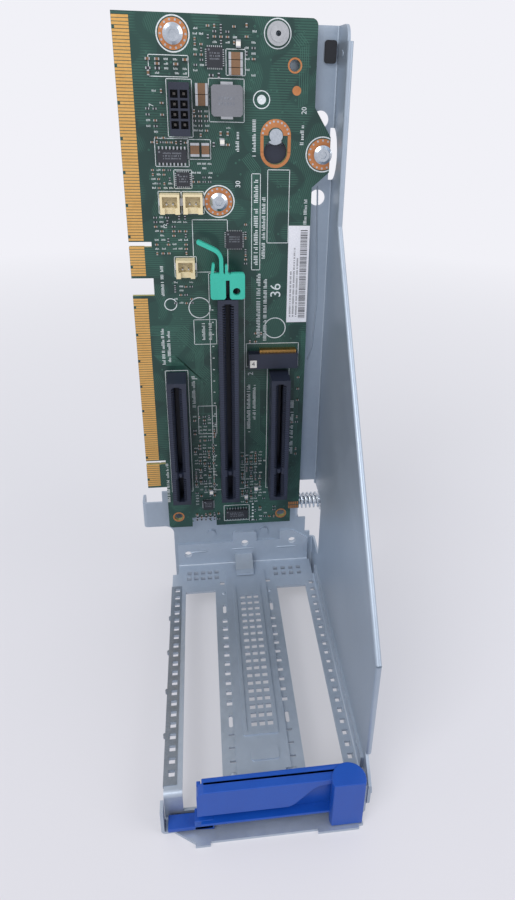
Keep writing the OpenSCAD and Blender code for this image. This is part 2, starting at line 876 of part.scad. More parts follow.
module module_contacts() {
    left = module_x - module_w / 2 + 4.6;
    n = 26;
    color("#b98b3a") for (i = [0 : n - 1])
        block([left + i * 0.56, -2.9, module_top - 0.9], [left + i * 0.56 + 0.3, 0, module_top + 0.4]);
}

module module_nut() {
    color("#c8ccd0") translate([nut_spot.x, 0, board_top - nut_spot.y]) rotate([90, 0, 0]) difference() {
        union() {
            cylinder(h = 1.2, d = 7.2);
            cylinder(h = 2.3, d = 5);
            translate([0, 0, -1.2]) cylinder(h = 1.3, d = 3.1);
        }
        translate([0, 0, -2]) cylinder(h = 5, d = 1.7);
    }
}

// --------------------------------------------------------- board components

header_pitch = 3.1;
header_x = -14.7;
header_z = board_top - 27.8;
header_h = 8;
header_floor = 2;
header_spots = [for (i = [0:1], j = [0:3])
    [header_x + (i - 0.5) * header_pitch, header_z + (j - 1.5) * header_pitch]];

// Keyed power header: a shroud with one square cell for each pin
module power_header() {
    half = [3.3, 8];
    color("#141519") difference() {
        front_view(-header_h, header_h) area(
            [header_x - half.x, header_z - half.y], [header_x + half.x, header_z + half.y]);
        front_view(-header_h - 1, header_h + 1 - header_floor) for (p = header_spots)
            translate(p) square(2.4, center = true);
    }
}

module power_pins() {
    color("#c0b48c") for (p = header_spots)
        block([p.x - 0.4, -header_h + 1.6, p.y - 0.4], [p.x + 0.4, -header_floor, p.y + 0.4]);
}

socket_spots = [[-19.5, board_top - 58.5], [-11.5, board_top - 58.4], [-15, board_top - 81.6]];

// Low two-pin sockets with an open side
module signal_sockets() {
    half = 3.4;
    h = 4.2;
    color("#d9c69a") for (p = socket_spots) translate([p.x, 0, p.y]) difference() {
        block([-half, -h, -half], [half, 0, half]);
        block([-half + 0.8, -h - 1, -half + 2.2], [half - 0.8, -1, half - 0.8]);
        block([-half + 1.6, -h - 1, -half - 1], [half - 1.6, -2.6, half - 0.8]);
    }
}

inductor_c = [0.9, board_top - 25];
inductor_half = [5.2, 4.8];

// Moulded power inductor with chamfered corners
module inductor() {
    color("#73767a") front_view(-4.4, 4.4) translate(inductor_c) difference() {
        square(2 * inductor_half, center = true);
        for (x = [-1, 1], z = [-1, 1]) translate([x * inductor_half.x, z * inductor_half.y])
            rotate(45) square(1.1, center = true);
    }
}

module inductor_leads() {
    color("#c9ccce") for (s = [-1, 1])
        translate([inductor_c.x, 0, inductor_c.y + s * (inductor_half.y + 0.45)])
            block([-2, -2.2, -0.45], [2, 0, 0.45]);
}

// Two-terminal parts: centre x, z below the top edge, width, height, thickness
big_caps = [
    [4, 11.6, 4.6, 2.1, 1.6], [4, 13.9, 4.6, 2.1, 1.6], [4, 16.2, 4.6, 2.1, 1.6],
    [-7.4, 21.6, 4.1, 3.3, 1.8], [-7.4, 25.1, 4.1, 3.3, 1.8],
    [-10.2, 40.6, 3, 4.4, 1.6], [-6.6, 40.6, 2.6, 4.4, 1.6]
];
module capacitors() {
    color("#8a6a4a") for (c = big_caps)
        front_view(-c[4], c[4]) translate([c[0], board_top - c[1]]) square([c[2], c[3]], center = true);
}

// Chips: centre x, height z, width, height, thickness
top_chips = [
    [-2.8, board_top - 12.3, 5.2, 6, 0.9], [-18, board_top - 42.8, 10, 4.2, 1.7],
    [-14.6, board_top - 50.5, 4.6, 4.6, 1], [3, slot_z + long_slot_l + 19.5, 6, 6, 1.4]
];
foot_chips = [[3, board_z + 6.2, 9.6, 4.4, 1.6], [-9.5, board_z + 11.6, 4.4, 4.8, 0.9]];
board_chips = concat(top_chips, foot_chips);
module chips() {
    color("#22242a") for (c = board_chips)
        front_view(-c[4], c[4]) translate([c[0], c[1]]) square([c[2], c[3]], center = true);
}

// Gull-wing leads along the long sides of the two wide chips
lead_rows = [top_chips[1], foot_chips[0]];
module chip_leads() {
    n = 8;
    color("#cfd2d4") for (c = lead_rows, i = [0 : n - 1], s = [-1, 1]) {
        x = c[0] - c[2] / 2 + (i + 0.5) * c[2] / n;
        z = c[1] + s * (c[3] / 2 + 0.5);
        block([x - 0.25, -0.7, z - 0.5], [x + 0.25, 0, z + 0.5]);
    }
}

// ---------------------------------------------------------------- fasteners

// Pan-head screw along -y, its seat at y = 0
module pan_screw(shank_l) {
    color("#c3c9ce") rotate([90, 0, 0]) difference() {
        union() {
            cylinder(h = 1.4, d = 6.4);
            translate([0, 0, 1.4 - eps]) cylinder(h = 0.6, d1 = 6.4, d2 = 4.4, $fn = 48);
            translate([0, 0, -shank_l]) cylinder(h = shank_l + 0.1, d = board_screw_d);
        }
        translate([0, 0, 0.9]) cylinder(h = 3, d = 2.8, $fn = 6);
    }
}

module board_screws() {
    for (p = board_spots) translate([p.x, 0, board_top - p.y]) pan_screw(plate_y);
}

module board_standoffs() {
    color("#b7bcc0") for (p = board_spots) translate([p.x, board_t, board_top - p.y]) rotate([-90, 0, 0])
        difference() {
            union() {
                cylinder(h = standoff_h, d = standoff_d);
                cylinder(h = standoff_h + sheet_t, d = stub_d);
            }
            translate([0, 0, -1]) cylinder(h = standoff_h + sheet_t + 2, r = board_screw_d / 2 + run_gap);
        }
}

// Shouldered stud that the board's keyhole slides over
module locating_stud() {
    color("#b9bfc4") translate([stud_spot.x, 0, board_top - stud_spot.y]) rotate([90, 0, 0]) {
        translate([0, 0, 0.1]) cylinder(h = 1.2, d = 4.6);
        translate([0, 0, -plate_y]) cylinder(h = plate_y + 0.2, d = 2.4);
        translate([0, 0, -plate_y]) cylinder(h = standoff_h - 0.2, d = standoff_d);
        translate([0, 0, -plate_back]) cylinder(h = sheet_t + 0.1, d = stub_d);
    }
}

module plate_rivets() {
    color("#9aa4ac") for (p = rivet_spots) translate([p.x, plate_y, p.y]) rotate([90, 0, 0]) {
        cylinder(h = 0.8, d = 3.8);
        translate([0, 0, -sheet_t]) cylinder(h = sheet_t + 0.1, d = rivet_d);
        translate([0, 0, -sheet_t - 0.6]) cylinder(h = 0.6, d = 3.6);
    }
}

module wall_rivet() {
    color("#8f979d") translate([panel_right, rivet_y, wall_rivet_z]) rotate([0, 90, 0]) {
        translate([0, 0, -0.4]) cylinder(h = 0.4, d = 3.6);
        cylinder(h = 2 * sheet_t, d = wall_rivet_d);
        translate([0, 0, 2 * sheet_t]) cylinder(h = 0.7, d = 4.2);
    }
}

module bumper_pad() {
    color("#1c1d20") front_view(plate_y - 1.2, 1.2)
        rounded([wall_x - 4.8, cage_top - 11.3], [wall_x - 0.8, cage_top - 4.3], 0.9);
}

module label_sticker() {
    color("#e9eaee") front_view(-0.1, 0.1)
        area([board_right - 8, board_top - 103.9], [board_right - 0.1, board_top - 66.5]);
}

// ------------------------------------------------------------- bracket latch

bar_left = -16;
tongue_end = panel_left + 1.2;
latch_foot = floor_z + move_gap;
hub_top = bar_z + bar_h + 2.4;

// Front view of the bar, as (x, z)
module bar_outline() {
    difference() {
        area([bar_left, bar_z], [pivot_x, bar_z + bar_h]);
        translate([bar_left, bar_z + bar_h]) mirror([1, 0]) corner_waste(3);
        translate([bar_left, bar_z]) rotate(180) corner_waste(1);
    }
}

// Scoop that thins the bar next to the hub
module latch_scoop() {
    translate([pivot_x - 7.5, bar_front - 4.4, bar_z + bar_h / 2]) rotate([0, 32, 0])
        cylinder(h = 40, r = 7, center = true);
}

// Moulded pockets in the bar's back, with ribs between them
module bar_pockets() {
    wall = 1.3;
    n = 5;
    run = pivot_x - hub_d / 2 - 10 - bar_left;
    for (i = [0 : n - 1])
        block(
            [bar_left + wall + i * run / n, bar_front + 1.6, bar_z + 5.4],
            [bar_left + (i + 1) * run / n, bar_back + 1, bar_z + bar_h - wall]
        );
}

module bracket_latch() {
    color("#2a5fc4") difference() {
        union() {
            difference() {
                union() {
                    front_view(bar_front, bar_t) bar_outline();
                    // Lip under the finger groove
                    block([bar_left + 1, bar_front - 0.6, bar_z], [pivot_x - 6, bar_front + 1, bar_z + 0.9]);
                }
                latch_scoop();
                // Finger groove
                block([bar_left + 3, bar_front - 1, bar_z + 0.9], [pivot_x - 7, bar_front + 3, bar_z + 4.2]);
                bar_pockets();
            }
            // Tongue that snaps beside the tray's left cheek
            block([tongue_end, bar_front + 0.6, latch_foot + 0.7], [bar_left + 5, bar_back + 0.4, latch_foot + 2.2]);
            block([bar_left - 1, bar_front + 0.6, latch_foot + 0.7], [bar_left + 5, bar_back, bar_z + 1]);
            translate([pivot_x, pivot_y, latch_foot]) cylinder(h = hub_top - latch_foot, d = hub_d);
        }
        translate([pivot_x, pivot_y, latch_foot - 1])
            cylinder(h = hub_top - latch_foot + 2, r = latch_pin_d / 2 + run_gap);
    }
}

module latch_pin() {
    color("#b9bfc4") translate([pivot_x, pivot_y, 0]) {
        translate([0, 0, base_z]) cylinder(h = sheet_t + 0.1, d = latch_pin_d - 0.6);
        translate([0, 0, floor_z]) cylinder(h = hub_top + move_gap - floor_z + 0.1, d = latch_pin_d);
        translate([0, 0, hub_top + move_gap]) cylinder(h = 0.9, d = latch_pin_d + 2);
    }
}

// ------------------------------------------------------------- captive screw

// Draws along the screw's axis: local z runs from the ear to the knob
module on_screw(x) {
    translate([x, screw_y, screw_z]) rotate([0, 90, 0]) children();
}

module captive_screw() {
    tip = ear_x + 0.2;
    color("#aeb5bb") on_screw(tip) {
        cylinder(h = 1, d1 = screw_d - 1, d2 = screw_d, $fn = 48);
        translate([0, 0, 1 - eps]) cylinder(h = knob_x - tip - 1 + eps, d = screw_d);
    }
}

// Knurled knob with a driver slot
module screw_knob() {
    grooves = 24;
    color("#d2d6d9") on_screw(knob_x) difference() {
        union() {
            cylinder(h = 1.4, d = knob_d - 2.4);
            translate([0, 0, 1.4 - eps]) cylinder(h = knob_l - 1.4 + eps, d = knob_d);
        }
        for (i = [0 : grooves - 1]) rotate(i * 360 / grooves) translate([knob_d / 2, 0, 2.2])
            rotate(45) translate([-0.35, -0.35, 0]) cube([0.7, 0.7, knob_l - 3]);
        translate([0, 0, knob_l - 1.5]) linear_extrude(2) square([knob_d + 2, 1.2], center = true);
    }
}

// Clip that stops the spring from pushing the screw out of its flange
clip_t = 0.8;
module screw_clip() {
    on_screw(guide_x - sheet_t - 0.1 - clip_t) color("#8d949a") difference() {
        cylinder(h = clip_t, d = screw_d + 1.2);
        translate([0, 0, -1]) cylinder(h = 3, r = screw_d / 2 + run_gap);
    }
}

// Point k of the ring that the wire's section makes at step i of the helix
function spring_point(i, k, per_turn, sides, rise) =
    let(a = 360 * i / per_turn, b = 360 * k / sides, r = (spring_d - spring_wire) / 2 + spring_wire / 2 * cos(b))
    [r * cos(a), r * sin(a), spring_wire / 2 * (1 + sin(b)) + rise * i];

// Coil spring between the guide flange and the knob
module screw_spring() {
    per_turn = 20;
    sides = 8;
    rings = per_turn * spring_turns;
    room = knob_x - guide_x - move_gap;
    rise = (room - spring_wire) / rings;
    points = [for (i = [0 : rings], k = [0 : sides - 1]) spring_point(i, k, per_turn, sides, rise)];
    walls = [for (i = [0 : rings - 1], k = [0 : sides - 1]) let(j = (k + 1) % sides)
        [i * sides + k, (i + 1) * sides + k, (i + 1) * sides + j, i * sides + j]];
    caps = [[for (k = [0 : sides - 1]) k], [for (k = [sides - 1 : -1 : 0]) rings * sides + k]];
    color("#c9cfd4") on_screw(guide_x) polyhedron(points, concat(walls, caps));
}

placed() cage_frame();
placed() rear_panel();
placed() slot_cover();
placed() emi_strip();
placed() riser_board();
placed() slot_left();
placed() slot_long();
placed() slot_right();
placed() contacts_left();
placed() contacts_long();
placed() contacts_right();
placed() card_latch();
placed() module_socket();
placed() module_contacts();
placed() module_nut();
placed() power_header();
placed() power_pins();
placed() signal_sockets();
placed() inductor();
placed() inductor_leads();
placed() capacitors();
placed() chips();
placed() chip_leads();
placed() board_screws();
placed() board_standoffs();
placed() locating_stud();
placed() plate_rivets();
placed() wall_rivet();
placed() bumper_pad();
placed() label_sticker();
placed() bracket_latch();
placed() latch_pin();
placed() captive_screw();
placed() screw_knob();
placed() screw_clip();
placed() screw_spring();
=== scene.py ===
"""Looks of the riser cage bracket: finishes, board details, metal details and studio.

Places on the bracket are given in its own millimetres: x runs across the slots
with 0 on the long slot's centre line, y is 0 on the board's front face and
negative towards the cards, and z is the height above the rear panel.
"""

import logging
import math
import random
from dataclasses import dataclass
from enum import Enum
from functools import lru_cache
from typing import Any, Iterable, Sequence

import bmesh
import bpy
from mathutils import Matrix, Vector


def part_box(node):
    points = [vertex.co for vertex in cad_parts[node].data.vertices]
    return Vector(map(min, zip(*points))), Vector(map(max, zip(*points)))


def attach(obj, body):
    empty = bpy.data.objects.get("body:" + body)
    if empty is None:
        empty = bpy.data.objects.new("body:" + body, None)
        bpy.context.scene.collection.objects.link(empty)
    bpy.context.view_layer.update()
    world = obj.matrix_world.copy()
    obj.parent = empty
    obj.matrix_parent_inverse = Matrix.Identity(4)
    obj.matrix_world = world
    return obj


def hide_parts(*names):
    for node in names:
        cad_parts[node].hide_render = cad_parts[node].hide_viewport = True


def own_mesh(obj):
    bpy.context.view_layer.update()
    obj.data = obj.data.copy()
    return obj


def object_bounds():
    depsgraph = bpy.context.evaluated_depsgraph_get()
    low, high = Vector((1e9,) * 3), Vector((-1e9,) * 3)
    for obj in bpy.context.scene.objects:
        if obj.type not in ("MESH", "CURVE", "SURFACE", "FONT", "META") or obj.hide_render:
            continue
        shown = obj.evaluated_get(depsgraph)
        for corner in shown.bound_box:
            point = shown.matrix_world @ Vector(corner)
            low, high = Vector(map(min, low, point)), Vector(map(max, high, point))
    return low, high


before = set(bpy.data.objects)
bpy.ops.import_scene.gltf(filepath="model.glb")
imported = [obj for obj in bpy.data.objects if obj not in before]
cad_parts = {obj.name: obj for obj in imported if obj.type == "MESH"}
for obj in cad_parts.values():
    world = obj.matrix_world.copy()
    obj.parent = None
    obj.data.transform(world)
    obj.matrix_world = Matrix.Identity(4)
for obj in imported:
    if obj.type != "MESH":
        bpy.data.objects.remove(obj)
CAD_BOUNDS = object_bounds()

MM = 0.001
SINK = 0.05          # depth to which printed and plated details enter the board
SILK_RISE = 0.03
COPPER_RISE = 0.02
TRACK_RISE = 0.012
FONT_SIZE_SHARE = 1.35   # font size that gives digits of height 1
BOARD_LEFT = -35.0
BOARD_TOP = 224.6
WALL_X = 38.97

Colour = tuple[float, float, float, float]
Spot = tuple[float, float]
Rect = tuple[float, float, float, float]
Spot3 = tuple[float, float, float]


def shade(red: int, green: int, blue: int) -> Colour:
    """Turns a display colour of 0 to 255 into the linear colour of a socket.

    Args:
        red: Red part.
        green: Green part.
        blue: Blue part.

    Returns:
        The linear colour with full alpha.
    """
    parts = []
    for part in (red, green, blue):
        value = part / 255.0
        parts.append(value / 12.92 if value <= 0.04045 else ((value + 0.055) / 1.055) ** 2.4)
    return (parts[0], parts[1], parts[2], 1.0)


class Datum:
    """The bracket's own millimetre frame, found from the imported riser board."""

    def __init__(self) -> None:
        """Reads the board's box."""
        low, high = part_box("riser_board")
        self.origin = Vector((
            float(low[0]) - BOARD_LEFT * MM,
            float(low[1]),
            float(high[2]) - BOARD_TOP * MM,
        ))

    def place(self, x: float, y: float, z: float) -> Vector:
        """Turns a place in the bracket's millimetres into metres in the frame.

        Args:
            x: Across the slots.
            y: Behind the board's front face.
            z: Above the rear panel.

        Returns:
            The place in the frame.
        """
        return self.origin + Vector((x, y, z)) * MM


DATUM = Datum()


# ------------------------------------------------------------------ node maths

class Sock:
    """A socket in a node tree that takes part in Python expressions."""

    def __init__(self, graph: "Graph", socket: Any) -> None:
        """Wraps a socket.

        Args:
            graph: The graph that holds the socket's node.
            socket: The output socket.
        """
        self.graph = graph
        self.socket = socket

    def __add__(self, other: Any) -> "Sock":
        """Adds."""
        return self.graph.math("ADD", self, other)

    def __radd__(self, other: Any) -> "Sock":
        """Adds, reflected."""
        return self.graph.math("ADD", other, self)

    def __sub__(self, other: Any) -> "Sock":
        """Subtracts."""
        return self.graph.math("SUBTRACT", self, other)

    def __rsub__(self, other: Any) -> "Sock":
        """Subtracts, reflected."""
        return self.graph.math("SUBTRACT", other, self)

    def __mul__(self, other: Any) -> "Sock":
        """Multiplies."""
        return self.graph.math("MULTIPLY", self, other)

    def __rmul__(self, other: Any) -> "Sock":
        """Multiplies, reflected."""
        return self.graph.math("MULTIPLY", other, self)

    def over(self, limit: float) -> "Sock":
        """Gives 1 where the value is over the limit, else 0."""
        return self.graph.math("GREATER_THAN", self, limit)

    def under(self, limit: float) -> "Sock":
        """Gives 1 where the value is under the limit, else 0."""
        return self.graph.math("LESS_THAN", self, limit)

    def fraction(self) -> "Sock":
        """Gives the part after the point."""
        return self.graph.math("FRACT", self)

    def size(self) -> "Sock":
        """Gives the absolute value."""
        return self.graph.math("ABSOLUTE", self)

    def clamped(self) -> "Sock":
        """Gives the value held between 0 and 1."""
        return self.graph.math("ADD", self, 0.0, clamp=True)

    def span(self, low: float, high: float) -> "Sock":
        """Maps low to 0 and high to 1, held between them.

        Args:
            low: Value that becomes 0.
            high: Value that becomes 1.

        Returns:
            The mapped value.
        """
        return ((self - low) * (1.0 / (high - low))).clamped()


class Graph:
    """A node tree in the making, for a material or for the world."""

    def __init__(self, tree: bpy.types.NodeTree) -> None:
        """Empties a node tree and takes it over.

        Args:
            tree: The tree to fill.
        """
        self.tree = tree
        tree.nodes.clear()

    def node(self, kind: str, settings: dict[str, Any] | None = None,
             inputs: dict[Any, Any] | None = None) -> bpy.types.Node:
        """Adds a node.

        Args:
            kind: The node's type.
            settings: Its properties, set first; "stops" fills a colour ramp.
            inputs: Values or links of its sockets, by name or number.

        Returns:
            The new node.
        """
        made = self.tree.nodes.new(kind)
        for name, value in (settings or {}).items():
            if name == "stops":
                elements = made.color_ramp.elements
                while len(elements) < len(value):
                    elements.new(0.5)
                for element, (position, colour) in zip(elements, value):
                    element.position = position
                    element.color = colour
            else:
                setattr(made, name, value)
        for key, value in (inputs or {}).items():
            if isinstance(value, Sock):
                self.tree.links.new(value.socket, made.inputs[key])
            else:
                made.inputs[key].default_value = value
        return made

    def math(self, operation: str, *values: Any, clamp: bool = False) -> Sock:
        """Adds a Math node.

        Args:
            operation: The node's operation.
            values: Its numbers or sockets.
            clamp: Whether the result is held between 0 and 1.

        Returns:
            The result.
        """
        made = self.node("ShaderNodeMath", {"operation": operation, "use_clamp": clamp},
                         dict(enumerate(values)))
        return Sock(self, made.outputs[0])

    def mix(self, factor: Any, first: Any, second: Any) -> Sock:
        """Mixes two colours.

        Args:
            factor: Share of the second colour.
            first: Colour at factor 0.
            second: Colour at factor 1.

        Returns:
            The mixed colour.
        """
        made = self.node("ShaderNodeMix", {"data_type": "RGBA", "clamp_factor": True},
                         {0: factor, 6: first, 7: second})
        return Sock(self, made.outputs[2])

    def coordinates(self, stretch: Spot3 = (1.0, 1.0, 1.0)) -> Sock:
        """Gives object coordinates in metres, stretched along the axes.

        Args:
            stretch: Factors for x, y and z.

        Returns:
            The vector.
        """
        source = self.node("ShaderNodeTexCoord")
        mapped = self.node("ShaderNodeMapping", None, {
            "Vector": Sock(self, source.outputs["Object"]), "Scale": stretch,
        })
        return Sock(self, mapped.outputs[0])

    def axes(self, vector: Sock) -> tuple[Sock, Sock, Sock]:
        """Splits a vector.

        Args:
            vector: The vector.

        Returns:
            Its x, y and z.
        """
        made = self.node("ShaderNodeSeparateXYZ", None, {0: vector})
        return tuple(Sock(self, made.outputs[i]) for i in range(3))

    def noise(self, vector: Sock, scale: float, detail: float = 3.0) -> Sock:
        """Adds a noise texture.

        Args:
            vector: Where it is read.
            scale: Waves for each metre.
            detail: Octaves.

        Returns:
            Its value.
        """
        made = self.node("ShaderNodeTexNoise", None,
                         {"Vector": vector, "Scale": scale, "Detail": detail})
        return Sock(self, made.outputs[0])

    def cells(self, vector: Sock, scale: float) -> Sock:
        """Adds a cell texture.

        Args:
            vector: Where it is read.
            scale: Cells for each metre.

        Returns:
            A value for each cell.
        """
        made = self.node("ShaderNodeTexVoronoi", None, {"Vector": vector, "Scale": scale})
        return self.axes(Sock(self, made.outputs[1]))[0]

    def bump(self, height: Sock, strength: float, distance: float) -> Sock:
        """Adds a bump.

        Args:
            height: The height, 0 to 1.
            strength: Share of the bump.
            distance: Height of 1 in metres.

        Returns:
            The bumped normal.
        """
        made = self.node("ShaderNodeBump", None,
                         {"Height": height, "Strength": strength, "Distance": distance})
        return Sock(self, made.outputs[0])

    def surface(self, inputs: dict[str, Any]) -> None:
        """Ends the tree in a Principled shader.

        Args:
            inputs: Values or links of the shader's sockets.
        """
        shader = self.node("ShaderNodeBsdfPrincipled", None, inputs)
        self.node("ShaderNodeOutputMaterial", None, {"Surface": Sock(self, shader.outputs[0])})


# -------------------------------------------------------------------- finishes

class Finish:
    """A surface finish that can make its material."""

    name: str
    slot: str

    def fill(self, graph: Graph) -> None:
        """Fills the material's node tree."""
        raise NotImplementedError


@lru_cache(maxsize=None)
def material_of(finish: Finish) -> bpy.types.Material:
    """Makes a finish's material once.

    Args:
        finish: The finish.

    Returns:
        Its material.
    """
    made = bpy.data.materials.new(finish.name)
    made.use_nodes = True
    finish.fill(Graph(made.node_tree))
    return made


@dataclass(frozen=True)
class ZincSheet(Finish):
    """Zinc-coated steel: soft clouds, small spangle and a rolled grain."""

    name: str
    slot: str
    pale: Colour
    dark: Colour
    roughness: float = 0.42
    spangle: float = 0.12

    def fill(self, graph: Graph) -> None:
        """Fills the material's node tree."""
        at = graph.coordinates()
        cloud = graph.noise(at, 28.0, 5.0)
        flake = graph.cells(at, 520.0)
        grain = graph.noise(graph.coordinates((2600.0, 2600.0, 90.0)), 1.0, 2.0)
        dust = graph.noise(at, 900.0, 2.0)
        share = (cloud * 0.75 + flake * self.spangle + dust * 0.15 - 0.1).clamped()
        rough = self.roughness - 0.07 + cloud * 0.12 + flake * 0.05
        height = grain * 0.6 + flake * 0.2 + cloud * 0.6
        graph.surface({
            "Base Color": graph.mix(share, self.dark, self.pale),
            "Metallic": 0.62,
            "Roughness": rough,
            "Normal": graph.bump(height, 0.3, 0.00005),
        })


@dataclass(frozen=True)
class Plating(Finish):
    """Plated or machined metal with fine wear."""

    name: str
    slot: str
    pale: Colour
    dark: Colour
    roughness: float = 0.28
    grain: float = 1400.0

    def fill(self, graph: Graph) -> None:
        """Fills the material's node tree."""
        at = graph.coordinates()
        wear = graph.noise(at, self.grain, 3.0)
        cloud = graph.noise(at, 160.0, 3.0)
        graph.surface({
            "Base Color": graph.mix((wear * 0.5 + cloud * 0.6).clamped(), self.dark, self.pale),
            "Metallic": 1.0,
            "Roughness": self.roughness - 0.05 + wear * 0.14,
            "Normal": graph.bump(wear, 0.2, 0.00003),
        })


@dataclass(frozen=True)
class Moulding(Finish):
    """Moulded plastic, epoxy or rubber with a fine skin and faint flow marks."""

    name: str
    slot: str
    tone: Colour
    lift: Colour
    roughness: float = 0.42
    skin: float = 0.3
    grain: float = 2200.0

    def fill(self, graph: Graph) -> None:
        """Fills the material's node tree."""
        at = graph.coordinates()
        pores = graph.noise(at, self.grain, 2.0)
        flow = graph.noise(graph.coordinates((1.0, 1.0, 0.35)), 110.0, 4.0)
        specks = graph.noise(at, 5200.0, 1.0).span(0.66, 0.74)
        share = (flow * 0.7 + pores * 0.35 - 0.2 + specks * 0.3).clamped()
        graph.surface({
            "Base Color": graph.mix(share, self.tone, self.lift),
            "Roughness": self.roughness - 0.08 + pores * 0.12 + flow * 0.06,
            "Normal": graph.bump(pores + flow * 0.5, self.skin, 0.00005),
        })


@dataclass(frozen=True)
class CoatedBoard(Finish):
    """Solder mask over tracks and weave; bare laminate on the board's edges."""

    name: str
    slot: str
    mask: Colour
    track: Colour
    pour: Colour
    laminate: Colour

    def fill(self, graph: Graph) -> None:
        """Fills the material's node tree."""
        at = graph.coordinates()
        across, _, up = graph.axes(at)
        zone = graph.noise(at, 55.0, 1.0)
        lean = up * 0.35 + across
        strands = (lean * 1400.0).fraction().span(0.42, 0.5) * zone.span(0.53, 0.56)
        rows = (up * 1250.0).fraction().span(0.42, 0.5) * zone.span(0.46, 0.43)
        field = graph.cells(at, 75.0)
        warp = ((across * 2400.0).fraction() - 0.5).size()
        weft = ((up * 2400.0).fraction() - 0.5).size()
        copper = (strands + rows).clamped()
        coat = graph.mix(field.over(0.55) * 0.55, self.mask, self.pour)
        coat = graph.mix(copper * 0.5, coat, self.track)
        normal = graph.node("ShaderNodeNewGeometry")
        _, facing, _ = graph.axes(Sock(graph, normal.outputs["True Normal"]))
        edge = facing.size().under(0.5)
        graph.surface({
            "Base Color": graph.mix(edge, coat, self.laminate),
            "Roughness": edge * 0.35 + 0.3 + graph.noise(at, 300.0) * 0.08,
            "Normal": graph.bump(copper * 0.8 + field * 0.2 + (warp + weft) * 0.15, 0.35, 0.00003),
        })


@dataclass(frozen=True)
class PrintInk(Finish):
    """Printed ink or paper with slight unevenness."""

    name: str
    slot: str
    tone: Colour
    thin: Colour
    roughness: float = 0.6

    def fill(self, graph: Graph) -> None:
        """Fills the material's node tree."""
        at = graph.coordinates()
        cover = graph.noise(at, 1800.0, 3.0)
        graph.surface({
            "Base Color": graph.mix(cover.span(0.3, 0.75), self.tone, self.thin),
            "Roughness": self.roughness - 0.05 + cover * 0.1,
            "Normal": graph.bump(cover, 0.25, 0.00002),
        })


@dataclass(frozen=True)
class StudioFloor(Finish):
    """Pale floor that fades into the surroundings with distance, its colour darker towards the camera as
    painted shade.
    """

    name: str = "studio_floor"
    slot: str = ""
    # The near colour is darker than the far one: painted shade on the floor's front part.
    far: Colour = shade(206, 207, 212)
    near: Colour = shade(198, 197, 203)
    haze: Colour = shade(241, 241, 247)
    fade: Spot = (0.16, 0.75)
    least: float = 0.35

    def fill(self, graph: Graph) -> None:
        """Fills the material's node tree."""
        across, depth, _ = graph.axes(graph.coordinates())
        reach = graph.math("SQRT", across * across + depth * depth)
        shader = graph.node("ShaderNodeBsdfPrincipled", None, {
            # Painted shade: the base colour darkens from far to near.
            "Base Color": graph.mix(depth.span(-0.12, 0.15), self.near, self.far),
            "Roughness": 0.75,
            "Specular IOR Level": 0.2,
        })
        glow = graph.node("ShaderNodeEmission", None, {"Color": self.haze, "Strength": 1.0})
        ray = graph.node("ShaderNodeLightPath")
        seen = graph.math("MAXIMUM", Sock(graph, ray.outputs["Is Camera Ray"]),
                          Sock(graph, ray.outputs["Is Glossy Ray"]))
        share = (reach.span(*self.fade) * (1.0 - self.least) + self.least) * seen
        mixed = graph.node("ShaderNodeMixShader", None, {
            0: share, 1: Sock(graph, shader.outputs[0]), 2: Sock(graph, glow.outputs[0]),
        })
        graph.node("ShaderNodeOutputMaterial", None, {"Surface": Sock(graph, mixed.outputs[0])})


ZINC = ZincSheet("zinc_frame", "zinc_sheet", shade(176, 188, 201), shade(150, 163, 178))
ZINC_PANEL = ZincSheet("zinc_panel", "zinc_sheet", shade(188, 198, 210), shade(162, 174, 188),
                       0.4, 0.14)
ZINC_COVER = ZincSheet("zinc_cover", "cover_sheet", shade(184, 195, 208), shade(160, 172, 187),
                       0.42, 0.1)
STRIP = Plating("strip_steel", "spring_strip", shade(168, 177, 187), shade(112, 121, 131), 0.38)
BOARD = CoatedBoard("board_coat", "board_laminate", shade(20, 54, 49), shade(52, 98, 84),
                    shade(28, 68, 60), shade(150, 146, 92))
TRACK = Moulding("raised_track", "board_laminate", shade(46, 90, 78), shade(62, 110, 95), 0.35)
SLOT_BLACK = Moulding("slot_black", "slot_plastic", shade(27, 32, 47), shade(42, 49, 68), 0.42)
# Painted highlight: a lighter copy of the slot plastic for the comb ridges and side ribs, standing in for the
# light that they catch.
SLOT_RIDGE_HIGHLIGHT = Moulding("slot_ridge_painted_highlight", "slot_plastic", shade(38, 44, 62), shade(58, 66, 88), 0.42)
GOLD = Plating("contact_gold", "contact_gold", shade(236, 190, 118), shade(204, 154, 84), 0.34)
COPPER = Plating("bare_copper", "contact_gold", shade(214, 150, 104), shade(168, 106, 66), 0.38)
TEAL = Moulding("teal_latch", "teal_plastic", shade(34, 160, 140), shade(74, 200, 178), 0.3, 0.15)
BLUE = Moulding("blue_latch", "blue_plastic", shade(8, 62, 150), shade(22, 84, 178), 0.36, 0.2)
NICKEL = Plating("nickel_nut", "nickel", shade(214, 216, 218), shade(150, 154, 158), 0.22)
CREAM = Moulding("cream_socket", "cream_plastic", shade(214, 198, 156), shade(232, 220, 186), 0.45)
FERRITE = Moulding("inductor_grey", "inductor_grey", shade(104, 106, 112), shade(134, 136, 142),
                   0.55, 0.6, 1500.0)
